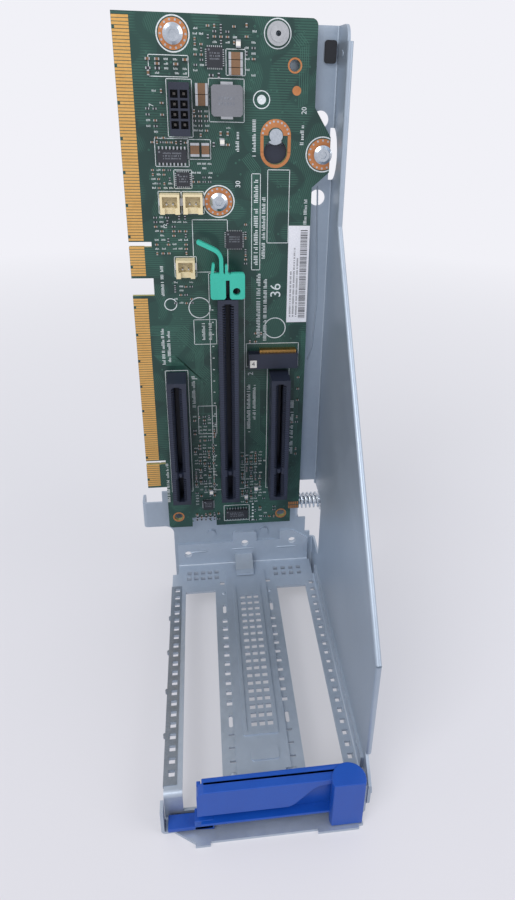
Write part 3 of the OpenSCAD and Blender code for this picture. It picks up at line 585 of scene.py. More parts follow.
# Painted shade: the power header's pins sit deep in its cells, so their tin gets a dark colour that stands in
# for the shade there.
PIN_TIN_PAINTED_SHADE = Plating("pin_tin_painted_shade", "solder", shade(112, 108, 104), shade(66, 64, 66), 0.4)
SOLDER = Plating("solder_tin", "solder", shade(214, 216, 220), shade(140, 144, 150), 0.3)
CERAMIC = Moulding("ceramic_brown", "ceramic_brown", shade(104, 76, 52), shade(146, 112, 82), 0.4)
EPOXY = Moulding("chip_epoxy", "chip_black", shade(26, 29, 36), shade(44, 48, 56), 0.5, 0.5)
HARDWARE = Plating("bright_zinc", "zinc_hardware", shade(216, 222, 228), shade(146, 156, 168), 0.22)
RUBBER = Moulding("pad_rubber", "pad_rubber", shade(24, 25, 29), shade(42, 44, 50), 0.7, 0.7)
PAPER = PrintInk("label_paper", "label_paper", shade(232, 233, 238), shade(214, 215, 222))
SILK = PrintInk("white_print", "board_laminate", shade(226, 230, 232), shade(186, 196, 198))
BLACK_INK = PrintInk("black_print", "label_paper", shade(28, 30, 36), shade(60, 62, 70))
GREY_INK = PrintInk("grey_print", "chip_black", shade(128, 132, 140), shade(96, 100, 108))
WHITE_PART = Moulding("white_part", "ceramic_brown", shade(222, 220, 212), shade(240, 238, 230), 0.35)
MASK_DARK = Moulding("via_mask", "board_laminate", shade(12, 34, 30), shade(20, 50, 44), 0.4)

NODE_FINISHES: dict[str, Finish] = {
    "cage_frame": ZINC, "rear_panel": ZINC_PANEL, "slot_cover": ZINC_COVER, "emi_strip": STRIP,
    "riser_board": BOARD, "slot_left": SLOT_BLACK, "slot_long": SLOT_BLACK,
    "slot_right": SLOT_BLACK, "contacts_left": GOLD, "contacts_long": GOLD,
    "contacts_right": GOLD, "card_latch": TEAL, "module_socket": SLOT_BLACK,
    "module_contacts": GOLD, "module_nut": NICKEL, "power_header": SLOT_BLACK,
    # power_pins take the darkened tin, a painted shade.
    "power_pins": PIN_TIN_PAINTED_SHADE, "signal_sockets": CREAM, "inductor": FERRITE,
    "inductor_leads": SOLDER, "capacitors": CERAMIC, "chips": EPOXY, "chip_leads": SOLDER,
    "board_screws": HARDWARE, "board_standoffs": HARDWARE, "locating_stud": HARDWARE,
    "plate_rivets": ZINC, "wall_rivet": ZINC, "bumper_pad": RUBBER, "label_sticker": PAPER,
    "bracket_latch": BLUE, "latch_pin": HARDWARE, "captive_screw": HARDWARE,
    "screw_knob": HARDWARE, "screw_clip": STRIP, "screw_spring": HARDWARE,
}


# ------------------------------------------------------------------ mesh maker

class Shaper:
    """A mesh in the making, in the bracket's own millimetres."""

    def __init__(self) -> None:
        """Starts an empty mesh."""
        self.bm = bmesh.new()

    def block(self, low: Sequence[float], high: Sequence[float], turn: float = 0.0) -> None:
        """Adds a box between two corners.

        Args:
            low: Lowest corner.
            high: Highest corner.
            turn: Turn in the board's plane in degrees.
        """
        start, end = Vector(low), Vector(high)
        place = (Matrix.Translation((start + end) / 2)
                 @ Matrix.Rotation(math.radians(turn), 4, "Y")
                 @ Matrix.Diagonal((*(end - start), 1.0)))
        bmesh.ops.create_cube(self.bm, size=1.0, matrix=place)

    def tile(self, area: Rect, rise: float, turn: float = 0.0) -> None:
        """Adds a thin tile on the board.

        Args:
            area: Lowest x and z, highest x and z.
            rise: Height above the board.
            turn: Turn in the board's plane in degrees.
        """
        self.block((area[0], -rise, area[1]), (area[2], SINK, area[3]), turn)

    def stroke(self, start: Spot, end: Spot, width: float, rise: float, base: float = 0.0) -> None:
        """Adds a straight line on a face that looks to the front.

        Args:
            start: First end, x and z.
            end: Other end.
            width: Width of the line.
            rise: Height above the face.
            base: The face's y.
        """
        run = Vector((end[0] - start[0], end[1] - start[1]))
        middle = ((start[0] + end[0]) / 2, (start[1] + end[1]) / 2)
        half = (run.length + width) / 2
        self.block((middle[0] - half, base - rise, middle[1] - width / 2),
                   (middle[0] + half, base + SINK, middle[1] + width / 2),
                   -math.degrees(math.atan2(run.y, run.x)))

    def path(self, spots: Sequence[Spot], width: float, rise: float, base: float = 0.0) -> None:
        """Adds a line through several spots.

        Args:
            spots: The spots, as x and z.
            width: Width of the line.
            rise: Height above the face.
            base: The face's y.
        """
        for start, end in zip(spots, spots[1:]):
            self.stroke(start, end, width, rise, base)

    def outline(self, area: Rect, width: float = 0.22) -> None:
        """Prints the outline of a rectangle on the board.

        Args:
            area: Lowest x and z, highest x and z.
            width: Width of the line.
        """
        left, low, right, high = area
        self.path([(left, low), (right, low), (right, high), (left, high), (left, low)],
                  width, SILK_RISE)

    def disc(self, spot: Spot, radius: float, rise: float, sides: int = 12,
             base: float = 0.0) -> None:
        """Adds a round tile.

        Args:
            spot: Its middle, x and z.
            radius: Its radius.
            rise: Height above the face.
            sides: Number of sides.
            base: The face's y.
        """
        place = (Matrix.Translation((spot[0], base + (SINK - rise) / 2, spot[1]))
                 @ Matrix.Rotation(math.radians(90), 4, "X"))
        bmesh.ops.create_cone(self.bm, cap_ends=True, cap_tris=False, segments=sides,
                              radius1=radius, radius2=radius, depth=rise + SINK, matrix=place)

    def ring(self, spot: Spot, inner: float, outer: float, rise: float,
             first: float = 0.0, sweep: float = 360.0, base: float = 0.0) -> None:
        """Adds a flat ring or arc, made by spinning its section.

        Args:
            spot: Its middle, x and z.
            inner: Inner radius.
            outer: Outer radius.
            rise: Height above the face.
            first: Angle of the first end in degrees, from +x towards +z.
            sweep: Angle that it covers.
            base: The face's y.
        """
        whole = sweep >= 360.0
        turn = math.radians(first)
        section = []
        for radius, y in ((inner, SINK), (outer, SINK), (outer, -rise), (inner, -rise)):
            section.append(self.bm.verts.new(
                (spot[0] + radius * math.cos(turn), base + y, spot[1] + radius * math.sin(turn))))
        edges = [self.bm.edges.new((section[i], section[(i + 1) % 4])) for i in range(4)]
        bmesh.ops.spin(self.bm, geom=section + edges, cent=(spot[0], 0.0, spot[1]),
                       axis=(0.0, -1.0, 0.0), angle=math.radians(min(sweep, 360.0)),
                       steps=max(8, int(40 * min(sweep, 360.0) / 360.0)), use_merge=whole)
        if not whole:
            rims = [edge for edge in self.bm.edges if edge.is_boundary]
            bmesh.ops.holes_fill(self.bm, edges=rims, sides=4)

    def dome(self, centre: Sequence[float], radii: Sequence[float], sides: int = 20) -> None:
        """Adds a rounded button, half of it inside what carries it.

        Args:
            centre: Its middle.
            radii: Half sizes along x, y and z.
            sides: Number of sides.
        """
        place = Matrix.Translation(Vector(centre)) @ Matrix.Diagonal((*radii, 1.0))
        bmesh.ops.create_uvsphere(self.bm, u_segments=sides, v_segments=sides // 2,
                                  radius=1.0, matrix=place)

    def prism(self, outline: Sequence[Spot], front: float, back: float) -> None:
        """Adds a plate with an outline that looks to the front.

        Args:
            outline: Its corners, as x and z.
            front: The front face's y.
            back: The back face's y.
        """
        corners = [self.bm.verts.new((x, front, z)) for x, z in outline]
        face = self.bm.faces.new(corners)
        grown = bmesh.ops.extrude_face_region(self.bm, geom=[face], use_keep_orig=True)["geom"]
        moved = [part for part in grown if isinstance(part, bmesh.types.BMVert)]
        bmesh.ops.translate(self.bm, vec=(0.0, back - front, 0.0), verts=moved)

    def post(self, spot: Spot, foot: float, top: float, radius: float, sides: int = 48) -> None:
        """Adds an upright round post.

        Args:
            spot: Its middle, x and y.
            foot: Height of its lower end.
            top: Height of its upper end.
            radius: Its radius.
            sides: Number of sides.
        """
        place = Matrix.Translation((spot[0], spot[1], (foot + top) / 2))
        bmesh.ops.create_cone(self.bm, cap_ends=True, cap_tris=False, segments=sides,
                              radius1=radius, radius2=radius, depth=top - foot, matrix=place)

    def absorb(self, other: "Shaper") -> None:
        """Takes over another mesh in the making.

        Args:
            other: The mesh, which ends here.
        """
        held = bpy.data.meshes.new("absorbed")
        other.bm.to_mesh(held)
        other.bm.free()
        self.bm.from_mesh(held)
        bpy.data.meshes.remove(held)

    def clip(self, at: Spot3, facing: Spot3) -> None:
        """Cuts away what lies past a plane and closes the cut.

        Args:
            at: A place on the plane.
            facing: Direction of the side that goes.
        """
        everything = self.bm.verts[:] + self.bm.edges[:] + self.bm.faces[:]
        bmesh.ops.bisect_plane(self.bm, geom=everything, dist=1e-5, plane_co=at,
                               plane_no=facing, clear_outer=True)
        bmesh.ops.holes_fill(self.bm, edges=[e for e in self.bm.edges if e.is_boundary], sides=8)

    def numeral(self, text: str, height: float, spot: Spot, turn: float = 0.0,
                rise: float = SILK_RISE) -> None:
        """Prints a plain number that faces the front.

        Args:
            text: Digits.
            height: Height of the digits.
            spot: Middle, x and z.
            turn: Turn in the board's plane in degrees.
            rise: Height of the print's face in front of the board.
        """
        curve = bpy.data.curves.new("numeral", "FONT")
        curve.body = text
        curve.size = height * FONT_SIZE_SHARE
        curve.align_x = "CENTER"
        curve.align_y = "CENTER"
        curve.extrude = 0.5 * SILK_RISE
        curve.resolution_u = 3
        holder = bpy.data.objects.new("numeral", curve)
        bpy.context.scene.collection.objects.link(holder)
        bpy.context.view_layer.update()
        mesh = bpy.data.meshes.new_from_object(
            holder.evaluated_get(bpy.context.evaluated_depsgraph_get()))
        mesh.transform(Matrix.Translation((spot[0], -rise, spot[1]))
                       @ Matrix.Rotation(math.radians(turn), 4, "Y")
                       @ Matrix.Rotation(math.radians(90), 4, "X"))
        self.bm.from_mesh(mesh)
        bpy.data.objects.remove(holder)
        bpy.data.curves.remove(curve)
        bpy.data.meshes.remove(mesh)

    def piece(self, name: str, finish: Finish, body: str = "cage",
              smooth: bool = False) -> bpy.types.Object:
        """Turns the mesh into a finished piece in the frame.

        Args:
            name: The piece's name.
            finish: Its finish.
            body: The CAD body that it rides on.
            smooth: Whether its faces are shaded smooth.

        Returns:
            The piece.
        """
        bmesh.ops.remove_doubles(self.bm, verts=self.bm.verts[:], dist=1e-5)
        bmesh.ops.recalc_face_normals(self.bm, faces=self.bm.faces[:])
        bmesh.ops.scale(self.bm, vec=(MM, MM, MM), verts=self.bm.verts[:])
        bmesh.ops.translate(self.bm, vec=DATUM.origin, verts=self.bm.verts[:])
        for face in self.bm.faces:
            face.smooth = smooth
        mesh = bpy.data.meshes.new(name)
        self.bm.to_mesh(mesh)
        self.bm.free()
        return placed(name, mesh, finish, body)


def placed(name: str, mesh: bpy.types.Mesh, finish: Finish, body: str) -> bpy.types.Object:
    """Makes a mesh a dressed piece that rides on a body.

    Args:
        name: The piece's name.
        mesh: Its mesh.
        finish: Its finish.
        body: The CAD body that it rides on.

    Returns:
        The piece.
    """
    mesh.materials.clear()
    mesh.materials.append(material_of(finish))
    obj = bpy.data.objects.new(name, mesh)
    bpy.context.scene.collection.objects.link(obj)
    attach(obj, body)
    return obj


def give_radius(obj: bpy.types.Object, radius: float, sharpest: float) -> None:
    """Rounds a moulded piece's sharp edges.

    Args:
        obj: The piece.
        radius: Size of the rounding.
        sharpest: Angle in degrees up to which an edge stays as it is.
    """
    rounding = obj.modifiers.new("mould_radius", "BEVEL")
    rounding.width = radius * MM
    rounding.segments = 3
    rounding.limit_method = "ANGLE"
    rounding.angle_limit = math.radians(sharpest)


# ------------------------------------------------------------------ CAD pieces

class CadDress:
    """Gives every CAD node its finish."""

    def build(self) -> list[bpy.types.Object]:
        """Dresses the nodes.

        Returns:
            The dressed objects.
        """
        dressed = []
        for name, finish in NODE_FINISHES.items():
            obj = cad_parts[name]
            if not obj.material_slots:
                obj.data.materials.append(material_of(finish))
            for held in obj.material_slots:
                held.material = material_of(finish)
            dressed.append(obj)
        return dressed


@dataclass
class MouldedLatch:
    """A moulded latch whose sharp CAD edges get their small mould radii."""

    node: str
    body: str
    finish: Finish
    radius: float

    def build(self) -> list[bpy.types.Object]:
        """Builds the rounded latch.

        Returns:
            The piece that stands for the CAD node.
        """
        bm = bmesh.new()
        bm.from_mesh(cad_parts[self.node].data)
        bmesh.ops.remove_doubles(bm, verts=bm.verts[:], dist=1e-6)
        bmesh.ops.dissolve_limit(bm, angle_limit=math.radians(0.8), verts=bm.verts[:],
                                 edges=bm.edges[:])
        mesh = bpy.data.meshes.new(self.node + "_moulded")
        bm.to_mesh(mesh)
        bm.free()
        obj = placed(self.node + "_moulded", mesh, self.finish, self.body)
        give_radius(obj, self.radius, 35)
        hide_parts(self.node)
        return [obj]


@dataclass
class BracketLatch:
    """The latch over the card brackets: bar with an S-shaped step, web, ribs, lip and hub."""

    left: float = -16.0
    foot: float = -7.4
    top: float = 8.1
    front: float = -112.1
    back: float = -107.1
    pivot: Spot = (31.97, -112.5)
    hub_radius: float = 5.5
    hub_front: float = 2.3
    hub_top: float = 8.7
    step_depth: float = 2.6
    ribs_end: float = 16.4
    wall: float = 1.3
    hub_foot: float = -11.3
    step_foot: float = -3.2
    step_height: float = 9.0
    step_start: float = 12.5
    step_run: float = 11.0
    tongue_end: float = -25.47
    ribs: int = 6
    rounding: float = 0.45

    def front_face(self) -> list[Spot]:
        """Gives the outline of the raised front, whose lower edge steps up towards the hub.

        Returns:
            Its corners, as x and z.
        """
        outline = [(self.left, self.step_foot)]
        for index in range(13):
            share = index / 12
            rise = share * share * (3.0 - 2.0 * share)
            outline.append((self.step_start + share * self.step_run,
                            self.step_foot + rise * self.step_height))
        outline += [(self.pivot[0], self.top - self.wall), (self.pivot[0], self.top)]
        return outline + self.corner()

    def corner(self) -> list[Spot]:
        """Gives the bar's rounded upper left corner.

        Returns:
            Its places, as x and z.
        """
        return [(self.left + 2.2, self.top), (self.left + 0.6, self.top - 0.7),
                (self.left, self.top - 2.2)]

    def build(self) -> list[bpy.types.Object]:
        """Builds the latch and its pin.

        Returns:
            The pieces that stand for the CAD nodes.
        """
        x = self.pivot[0]
        bar = Shaper()
        web = self.front + self.step_depth
        bar.prism(self.front_face(), self.front, web + 0.2)
        bar.prism([(self.left, self.foot), (x, self.foot), (x, self.top), *self.corner()],
                  web, web + 1.1)
        bar.block((self.left + 1.6, web, self.top - self.wall), (x, self.back, self.top))
        bar.block((self.left, web + 0.9, self.foot), (x, self.back, self.foot + 5.4))
        bar.block((self.ribs_end, web + 0.9, self.foot), (x, self.back, self.top))
        for index in range(self.ribs):
            start = self.left + index * (self.ribs_end - self.left) / self.ribs
            bar.block((start, web + 0.9, self.foot + 5.0),
                      (start + self.wall, self.back, self.top - 1.0))
        bar.block((self.left + 1, self.front - 0.6, self.foot),
                  (x - 2, web + 0.2, self.foot + 0.9))
        bar.block((self.tongue_end, self.front + 0.6, self.hub_foot + 0.7),
                  (self.left + 5, self.back + 0.4, self.hub_foot + 2.2))
        bar.block((self.left - 1, self.front + 0.6, self.hub_foot + 0.7),
                  (self.left + 5, self.back, self.foot + 1))
        hub = Shaper()
        hub.post(self.pivot, self.hub_foot, self.hub_top, self.hub_radius)
        hub.clip((x, self.pivot[1] - self.hub_front, 0.0), (0.0, -1.0, 0.0))
        bar.absorb(hub)
        latch = bar.piece("bracket_latch_moulded", BLUE, "bracket_latch")
        give_radius(latch, self.rounding, 40)
        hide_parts("bracket_latch")
        core = Shaper()
        core.post(self.pivot, -12.6, self.hub_top - 1.2, 1.5)
        pin = core.piece("latch_pin_core", HARDWARE)
        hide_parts("latch_pin")
        return [latch, pin]


@dataclass
class PressedSpring:
    """The captive screw's spring, which shortens while the screw is pushed in; here it is an unchanged copy
    of its CAD node's mesh.
    """

    node: str = "screw_spring"
    seat: Spot3 = (31.57, 8.5, 29.8)
    pressed: float = 0.6

    def build(self) -> list[bpy.types.Object]:
        """Builds the spring.

        Returns:
            The piece that stands for the CAD node.
        """
        coil = placed("screw_spring_coil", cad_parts[self.node].data.copy(), HARDWARE, "cage")
        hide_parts(self.node)
        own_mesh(coil)
        return [coil]


# ---------------------------------------------------------------------- board

@dataclass
class EdgeFingers:
    """Gold fingers on both faces of the two edge connectors."""

    left: float = -35.0
    inner: float = -29.6
    pitch: float = 1.0
    width: float = 0.8
    rows: int = 84
    first: float = 1.3
    edges: tuple[float, float] = (46.3, 138.8)
    key: tuple[int, int] = (11, 12)
    thickness: float = 1.6

    def build(self) -> list[bpy.types.Object]:
        """Builds the fingers.

        Returns:
            The pieces.
        """
        made = []
        for name, front in (("edge_fingers_front", True), ("edge_fingers_back", False)):
            shaper = Shaper()
            for edge in self.edges:
                for row in range(self.rows):
                    if row in self.key:
                        continue
                    z = edge + self.first + row * self.pitch
                    short = 0.9 if row % 11 == 3 else 0.06
                    y = (-COPPER_RISE, SINK) if front else (self.thickness - SINK,
                                                            self.thickness + COPPER_RISE)
                    shaper.block((self.left + short, y[0], z - self.width / 2),
                                 (self.inner, y[1], z + self.width / 2))
            made.append(shaper.piece(name, GOLD))
        return made


KEEP_OUT: list[Rect] = [
    (-24.9, 43.0, -15.8, 101.5), (-4.6, 43.0, 4.6, 160.0), (15.8, 43.0, 24.9, 101.5),
    (7.6, 101.5, 28.2, 111.5), (-18.4, 188.0, -11.0, 205.5), (-4.8, 192.8, 6.6, 206.0),
    (-23.4, 162.2, -8.0, 170.0), (-19.0, 139.2, -11.0, 146.8), (1.4, 207.0, 6.8, 214.6),
    (-9.8, 197.4, -4.8, 205.2), (-12.2, 181.2, -5.0, 186.8), (-5.6, 209.0, 0.0, 215.6),
    (-23.4, 178.6, -12.6, 185.0), (-17.2, 171.4, -12.0, 176.8), (-0.4, 149.6, 6.4, 156.6),
    (-2.2, 27.4, 8.2, 34.4), (-12.0, 33.4, -7.0, 39.2), (22.8, 120.4, 31.4, 158.4),
    (12.0, 178.4, 23.4, 194.6), (13.2, 215.2, 22.4, 224.6), (-22.0, 212.6, -10.0, 224.6),
    (-8.4, 160.4, 3.6, 172.6), (28.0, 176.0, 38.0, 190.0),
    (-25.0, 27.9, -20.4, 32.5), (20.6, 27.0, 25.2, 31.6),
]


def is_free(area: Rect, margin: float = 0.25) -> bool:
    """Says whether a place on the board holds none of the larger parts.

    Args:
        area: Lowest x and z, highest x and z.
        margin: Room that is left around it.

    Returns:
        Whether it is free.
    """
    return all(area[2] + margin < box[0] or area[0] - margin > box[2]
               or area[3] + margin < box[1] or area[1] - margin > box[3] for box in KEEP_OUT)


class PartKind(Enum):
    """Kinds of small two-terminal part, with body finish and height."""

    CERAMIC = ("ceramic", CERAMIC, 0.75)
    RESISTOR = ("resistor", EPOXY, 0.45)
    LAMP = ("lamp", WHITE_PART, 0.6)


@dataclass(frozen=True)
class Cluster:
    """A patch of small parts laid out in rows."""

    area: Rect
    pitch: Spot
    size: Spot
    fill: float
    lettered: bool


CLUSTERS = [
    Cluster((-25.2, 206.6, -11.0, 212.4), (3.0, 1.35), (1.6, 0.75), 0.8, True),
    Cluster((-9.8, 206.4, -1.0, 208.8), (2.5, 1.3), (1.5, 0.7), 0.8, True),
    Cluster((-9.6, 209.4, -5.8, 223.4), (2.0, 1.5), (1.0, 0.6), 0.8, True),
    Cluster((-5.4, 216.2, 3.6, 222.6), (2.1, 1.5), (1.1, 0.6), 0.85, True),
    Cluster((7.0, 206.8, 11.6, 222.0), (2.3, 1.6), (1.2, 0.6), 0.6, True),
    Cluster((-26.0, 187.0, -19.0, 205.0), (2.4, 1.8), (1.2, 0.6), 0.5, True),
    Cluster((-10.6, 188.0, -5.2, 197.0), (2.0, 1.5), (1.1, 0.6), 0.85, True),
    Cluster((-25.0, 185.6, -12.4, 187.6), (1.6, 1.5), (1.1, 0.55), 0.9, False),
    Cluster((-4.4, 185.0, 6.4, 192.4), (2.4, 1.8), (1.4, 0.7), 0.5, True),
    Cluster((-25.4, 170.6, -17.6, 178.2), (1.9, 1.5), (1.0, 0.55), 0.8, True),
    Cluster((-11.6, 172.8, -4.6, 180.6), (1.9, 1.5), (1.0, 0.55), 0.8, True),
    Cluster((-25.6, 147.6, -13.6, 161.6), (2.1, 1.6), (1.2, 0.6), 0.7, True),
    Cluster((-19.8, 128.6, -11.6, 138.6), (2.0, 1.6), (1.1, 0.6), 0.75, True),
    Cluster((6.6, 143.6, 8.8, 158.6), (2.0, 1.6), (1.1, 0.6), 0.7, False),
    Cluster((-14.6, 68.4, -5.0, 81.6), (2.0, 1.6), (1.1, 0.6), 0.75, True),
    Cluster((-14.8, 36.0, -5.0, 67.6), (1.9, 1.5), (1.1, 0.6), 0.85, True),
    Cluster((5.0, 36.0, 15.4, 62.6), (1.9, 1.5), (1.1, 0.6), 0.8, True),
    Cluster((8.6, 26.0, 20.0, 34.8), (2.1, 1.7), (1.2, 0.6), 0.55, True),
    Cluster((26.0, 60.0, 30.4, 100.0), (2.0, 2.6), (1.1, 0.6), 0.35, False),
    Cluster((6.0, 112.4, 14.0, 118.0), (2.2, 1.7), (1.2, 0.6), 0.5, False),
    Cluster((-15.2, 27.6, -4.0, 31.6), (1.9, 1.5), (1.2, 0.6), 0.8, False),
]


LAMP_SPOTS: list[Spot] = [(-8.0, 43.1), (7.2, 39.9), (11.6, 43.9), (4.9, 216.5), (-0.8, 186.6)]


class SmallParts:
    """Small soldered parts in patches, with silver ends; in lettered patches some places hold a printed tally
    instead of a part.
    """

    end_share = 0.22
    tally_step = 0.36
    tally_bar = 0.17

    def __init__(self) -> None:
        """Seeds the layout."""
        self.dice = random.Random(41)
        self.bodies = {kind: Shaper() for kind in PartKind}
        self.ends = Shaper()
        self.print = Shaper()

    def part(self, kind: PartKind, spot: Spot, size: Spot) -> None:
        """Adds one part lying along its longer side.

        Args:
            kind: What it is.
            spot: Its middle, x and z.
            size: Its sizes along x and z.
        """
        height = kind.value[2] * max(0.7, min(size) / 0.7)
        x, z = spot
        half = (size[0] / 2, size[1] / 2)
        cap = self.end_share * max(size)
        if size[0] >= size[1]:
            core = (x - half[0] + cap, z - half[1], x + half[0] - cap, z + half[1])
            tips = [(x - half[0], z - half[1], x - half[0] + cap, z + half[1]),
                    (x + half[0] - cap, z - half[1], x + half[0], z + half[1])]
        else:
            core = (x - half[0], z - half[1] + cap, x + half[0], z + half[1] - cap)
            tips = [(x - half[0], z - half[1], x + half[0], z - half[1] + cap),
                    (x - half[0], z + half[1] - cap, x + half[0], z + half[1])]
        self.bodies[kind].tile(core, height)
        for tip in tips:
            self.ends.tile(tip, height + 0.03)

    def tally(self, spot: Spot, count: int, upright: bool) -> None:
        """Prints a few short bars, as a stand-in for a reference number.

        Args:
            spot: Start, x and z.
            count: Number of bars.
            upright: Whether the row runs upwards.
        """
        for index in range(count):
            step = index * self.tally_step
            length = 0.62 if self.dice.random() < 0.7 else 0.4
            x, z = (spot[0], spot[1] + step) if upright else (spot[0] + step, spot[1])
            wide, high = (length, self.tally_bar) if upright else (self.tally_bar, length)
            self.print.tile((x, z, x + wide, z + high), SILK_RISE)

    def patch(self, cluster: Cluster) -> None:
        """Fills one patch.

        Args:
            cluster: The patch.
        """
        left, low, right, high = cluster.area
        z = low + cluster.size[1]
        while z < high:
            x = left + cluster.size[0] / 2
            while x < right:
                roll = self.dice.random()
                upright = self.dice.random() < 0.3
                size = cluster.size if not upright else (cluster.size[1], cluster.size[0])
                area = (x - size[0] / 2, z - size[1] / 2, x + size[0] / 2, z + size[1] / 2)
                if roll < cluster.fill and is_free(area):
                    kind = PartKind.CERAMIC if self.dice.random() < 0.6 else PartKind.RESISTOR
                    if cluster.lettered and self.dice.random() < 0.45:
                        self.tally((area[0], z - 0.3), 4, False)
                    else:
                        self.part(kind, (x, z), size)
                x += cluster.pitch[0]
            z += cluster.pitch[1]

    def build(self) -> list[bpy.types.Object]:
        """Builds the parts.

        Returns:
            The pieces.
        """
        for cluster in CLUSTERS:
            self.patch(cluster)
        for lamp in LAMP_SPOTS:
            self.part(PartKind.LAMP, lamp, (1.5, 2.3))
        for index in range(5):
            self.part(PartKind.RESISTOR, (-14.4 + index * 1.9, 29.9), (0.8, 1.7))
        for index in range(6):
            self.print.disc((10.2, 26.6 + index * 1.7), 0.42, SILK_RISE)
        made = [self.bodies[kind].piece("small_" + kind.value[0] + "_parts", kind.value[1])
                for kind in PartKind]
        made.append(self.ends.piece("small_part_ends", SOLDER))
        made.append(self.print.piece("part_tallies", SILK))
        return made


TRACK_BUNDLES: list[tuple[list[Spot], int, Spot]] = [
    ([(-28.8, 108.0), (-21.0, 108.0), (-14.6, 101.0), (-14.6, 84.0)], 9, (0.55, -0.55)),
    ([(-28.8, 120.0), (-17.0, 120.0), (-9.6, 112.6), (-9.6, 103.0), (-5.4, 98.6)], 7,
     (-0.5, -0.62)),
    ([(6.0, 96.0), (9.0, 93.0), (9.0, 70.0), (14.2, 64.8)], 8, (0.55, 0.35)),
    ([(5.6, 124.0), (9.5, 128.0), (9.5, 139.0)], 7, (0.5, -0.5)),
    ([(10.0, 160.0), (10.0, 176.0), (6.0, 181.0)], 6, (0.5, 0.4)),
    ([(27.2, 60.0), (27.2, 98.0), (29.5, 101.0), (29.5, 117.0)], 4, (0.5, -0.4)),
    ([(-28.8, 66.0), (-26.0, 66.0)], 14, (0.0, -1.0)),
    ([(25.4, 198.0), (25.4, 216.0), (22.6, 219.0)], 5, (0.7, 0.3)),
]


class Tracks:
    """Raised tracks under the solder mask, with their vias."""

    def __init__(self) -> None:
        """Seeds the via layout."""
        self.dice = random.Random(7)

    def bundle(self, shaper: Shaper, spots: Sequence[Spot], count: int, step: Spot) -> None:
        """Adds parallel tracks.

        Args:
            shaper: The mesh that takes them.
            spots: The first track's corners, x and z.
            count: Number of tracks.
            step: Shift from one track to the next.
        """
        for index in range(count):
            shaper.path([(x + step[0] * index, z + step[1] * index) for x, z in spots],
                        0.2, TRACK_RISE)

    def build(self) -> list[bpy.types.Object]:
        """Builds tracks and vias.

        Returns:
            The pieces.
        """
        lines = Shaper()
        for spots, count, step in TRACK_BUNDLES:
            self.bundle(lines, spots, count, step)
        vias = Shaper()
        holes = Shaper()
        placed_count = 0
        while placed_count < 330:
            spot = (self.dice.uniform(-26.0, 30.0), self.dice.uniform(27.0, 223.0))
            if is_free((spot[0], spot[1], spot[0], spot[1]), 0.6):
                vias.disc(spot, 0.34, TRACK_RISE + 0.004, 8)
                holes.disc(spot, 0.15, TRACK_RISE + 0.008, 6)
                placed_count += 1
        return [lines.piece("raised_tracks", TRACK), vias.piece("via_rings", TRACK),
                holes.piece("via_holes", MASK_DARK)]


@dataclass(frozen=True)
class Mount:
    """A screw place on the board: its middle, and the radius of its printed ring."""

    spot: Spot
    radius: float
    dots: int


MOUNTS = [Mount((-16.0, 218.7), 5.4, 14), Mount((-2.4, 166.6), 5.7, 15),
          Mount((34.37, 182.9), 6.0, 16)]


class MountPads:
    """Bare copper pads with stitching vias around screws and stud."""

    right_limit: float = 36.95

    def build(self) -> list[bpy.types.Object]:
        """Builds the pads and their rings.

        Returns:
            The pieces.
        """
        copper, print_, dots = Shaper(), Shaper(), Shaper()
        for mount in MOUNTS:
            copper.ring(mount.spot, 2.2, mount.radius - 0.75, COPPER_RISE)
            print_.ring(mount.spot, mount.radius - 0.4, mount.radius, SILK_RISE)
            reach = mount.radius - 1.35
            for index in range(mount.dots):
                angle = 2 * math.pi * index / mount.dots
                dots.disc((mount.spot[0] + reach * math.cos(angle),
                           mount.spot[1] + reach * math.sin(angle)), 0.36, SILK_RISE, 10)
        for shaper in (copper, print_, dots):
            shaper.clip((self.right_limit, 0.0, 0.0), (1.0, 0.0, 0.0))
        high, low = (17.7, 188.9), (17.7, 183.5)
        copper.ring(high, 2.6, 5.3, COPPER_RISE, 0.0, 180.0)
        copper.ring(low, 4.2, 5.3, COPPER_RISE, 180.0, 180.0)
        copper.tile((12.4, 183.4, 13.5, 189.0), COPPER_RISE)
        copper.tile((21.9, 183.4, 23.0, 189.0), COPPER_RISE)
        for index in range(10):
            angle = math.pi * (index + 0.5) / 10
            dots.disc((high[0] + 4.5 * math.cos(angle), high[1] + 4.5 * math.sin(angle)),
                      0.36, SILK_RISE, 10)
        for spot, inner, outer in (((-22.7, 30.2), 1.85, 2.5), ((22.87, 29.3), 1.85, 2.5),
                                   ((23.77, 210.7), 1.85, 2.4)):
            copper.ring(spot, inner, outer, COPPER_RISE)
        copper.disc((24.6, 203.1), 1.5, COPPER_RISE, 20)
        for column in range(5):
            for row in range(2):
                copper.tile((26.2 + column * 0.95, 31.8 + row * 1.9, 26.9 + column * 0.95,
                             33.3 + row * 1.9), COPPER_RISE)
        # Painted shade: a thin black sheet of slot plastic just behind the keyhole, so the hole looks dark;
        # it stands in for the shade inside the hole.
        painted_shade_sheet = Shaper()
        painted_shade_sheet.block((12.9, 1.62, 178.8), (22.5, 1.8, 185.6))
        return [painted_shade_sheet.piece("keyhole_painted_shade", SLOT_BLACK), copper.piece("bare_copper_pads", COPPER), print_.piece("mount_rings", SILK),
                dots.piece("stitching_vias", SOLDER)]


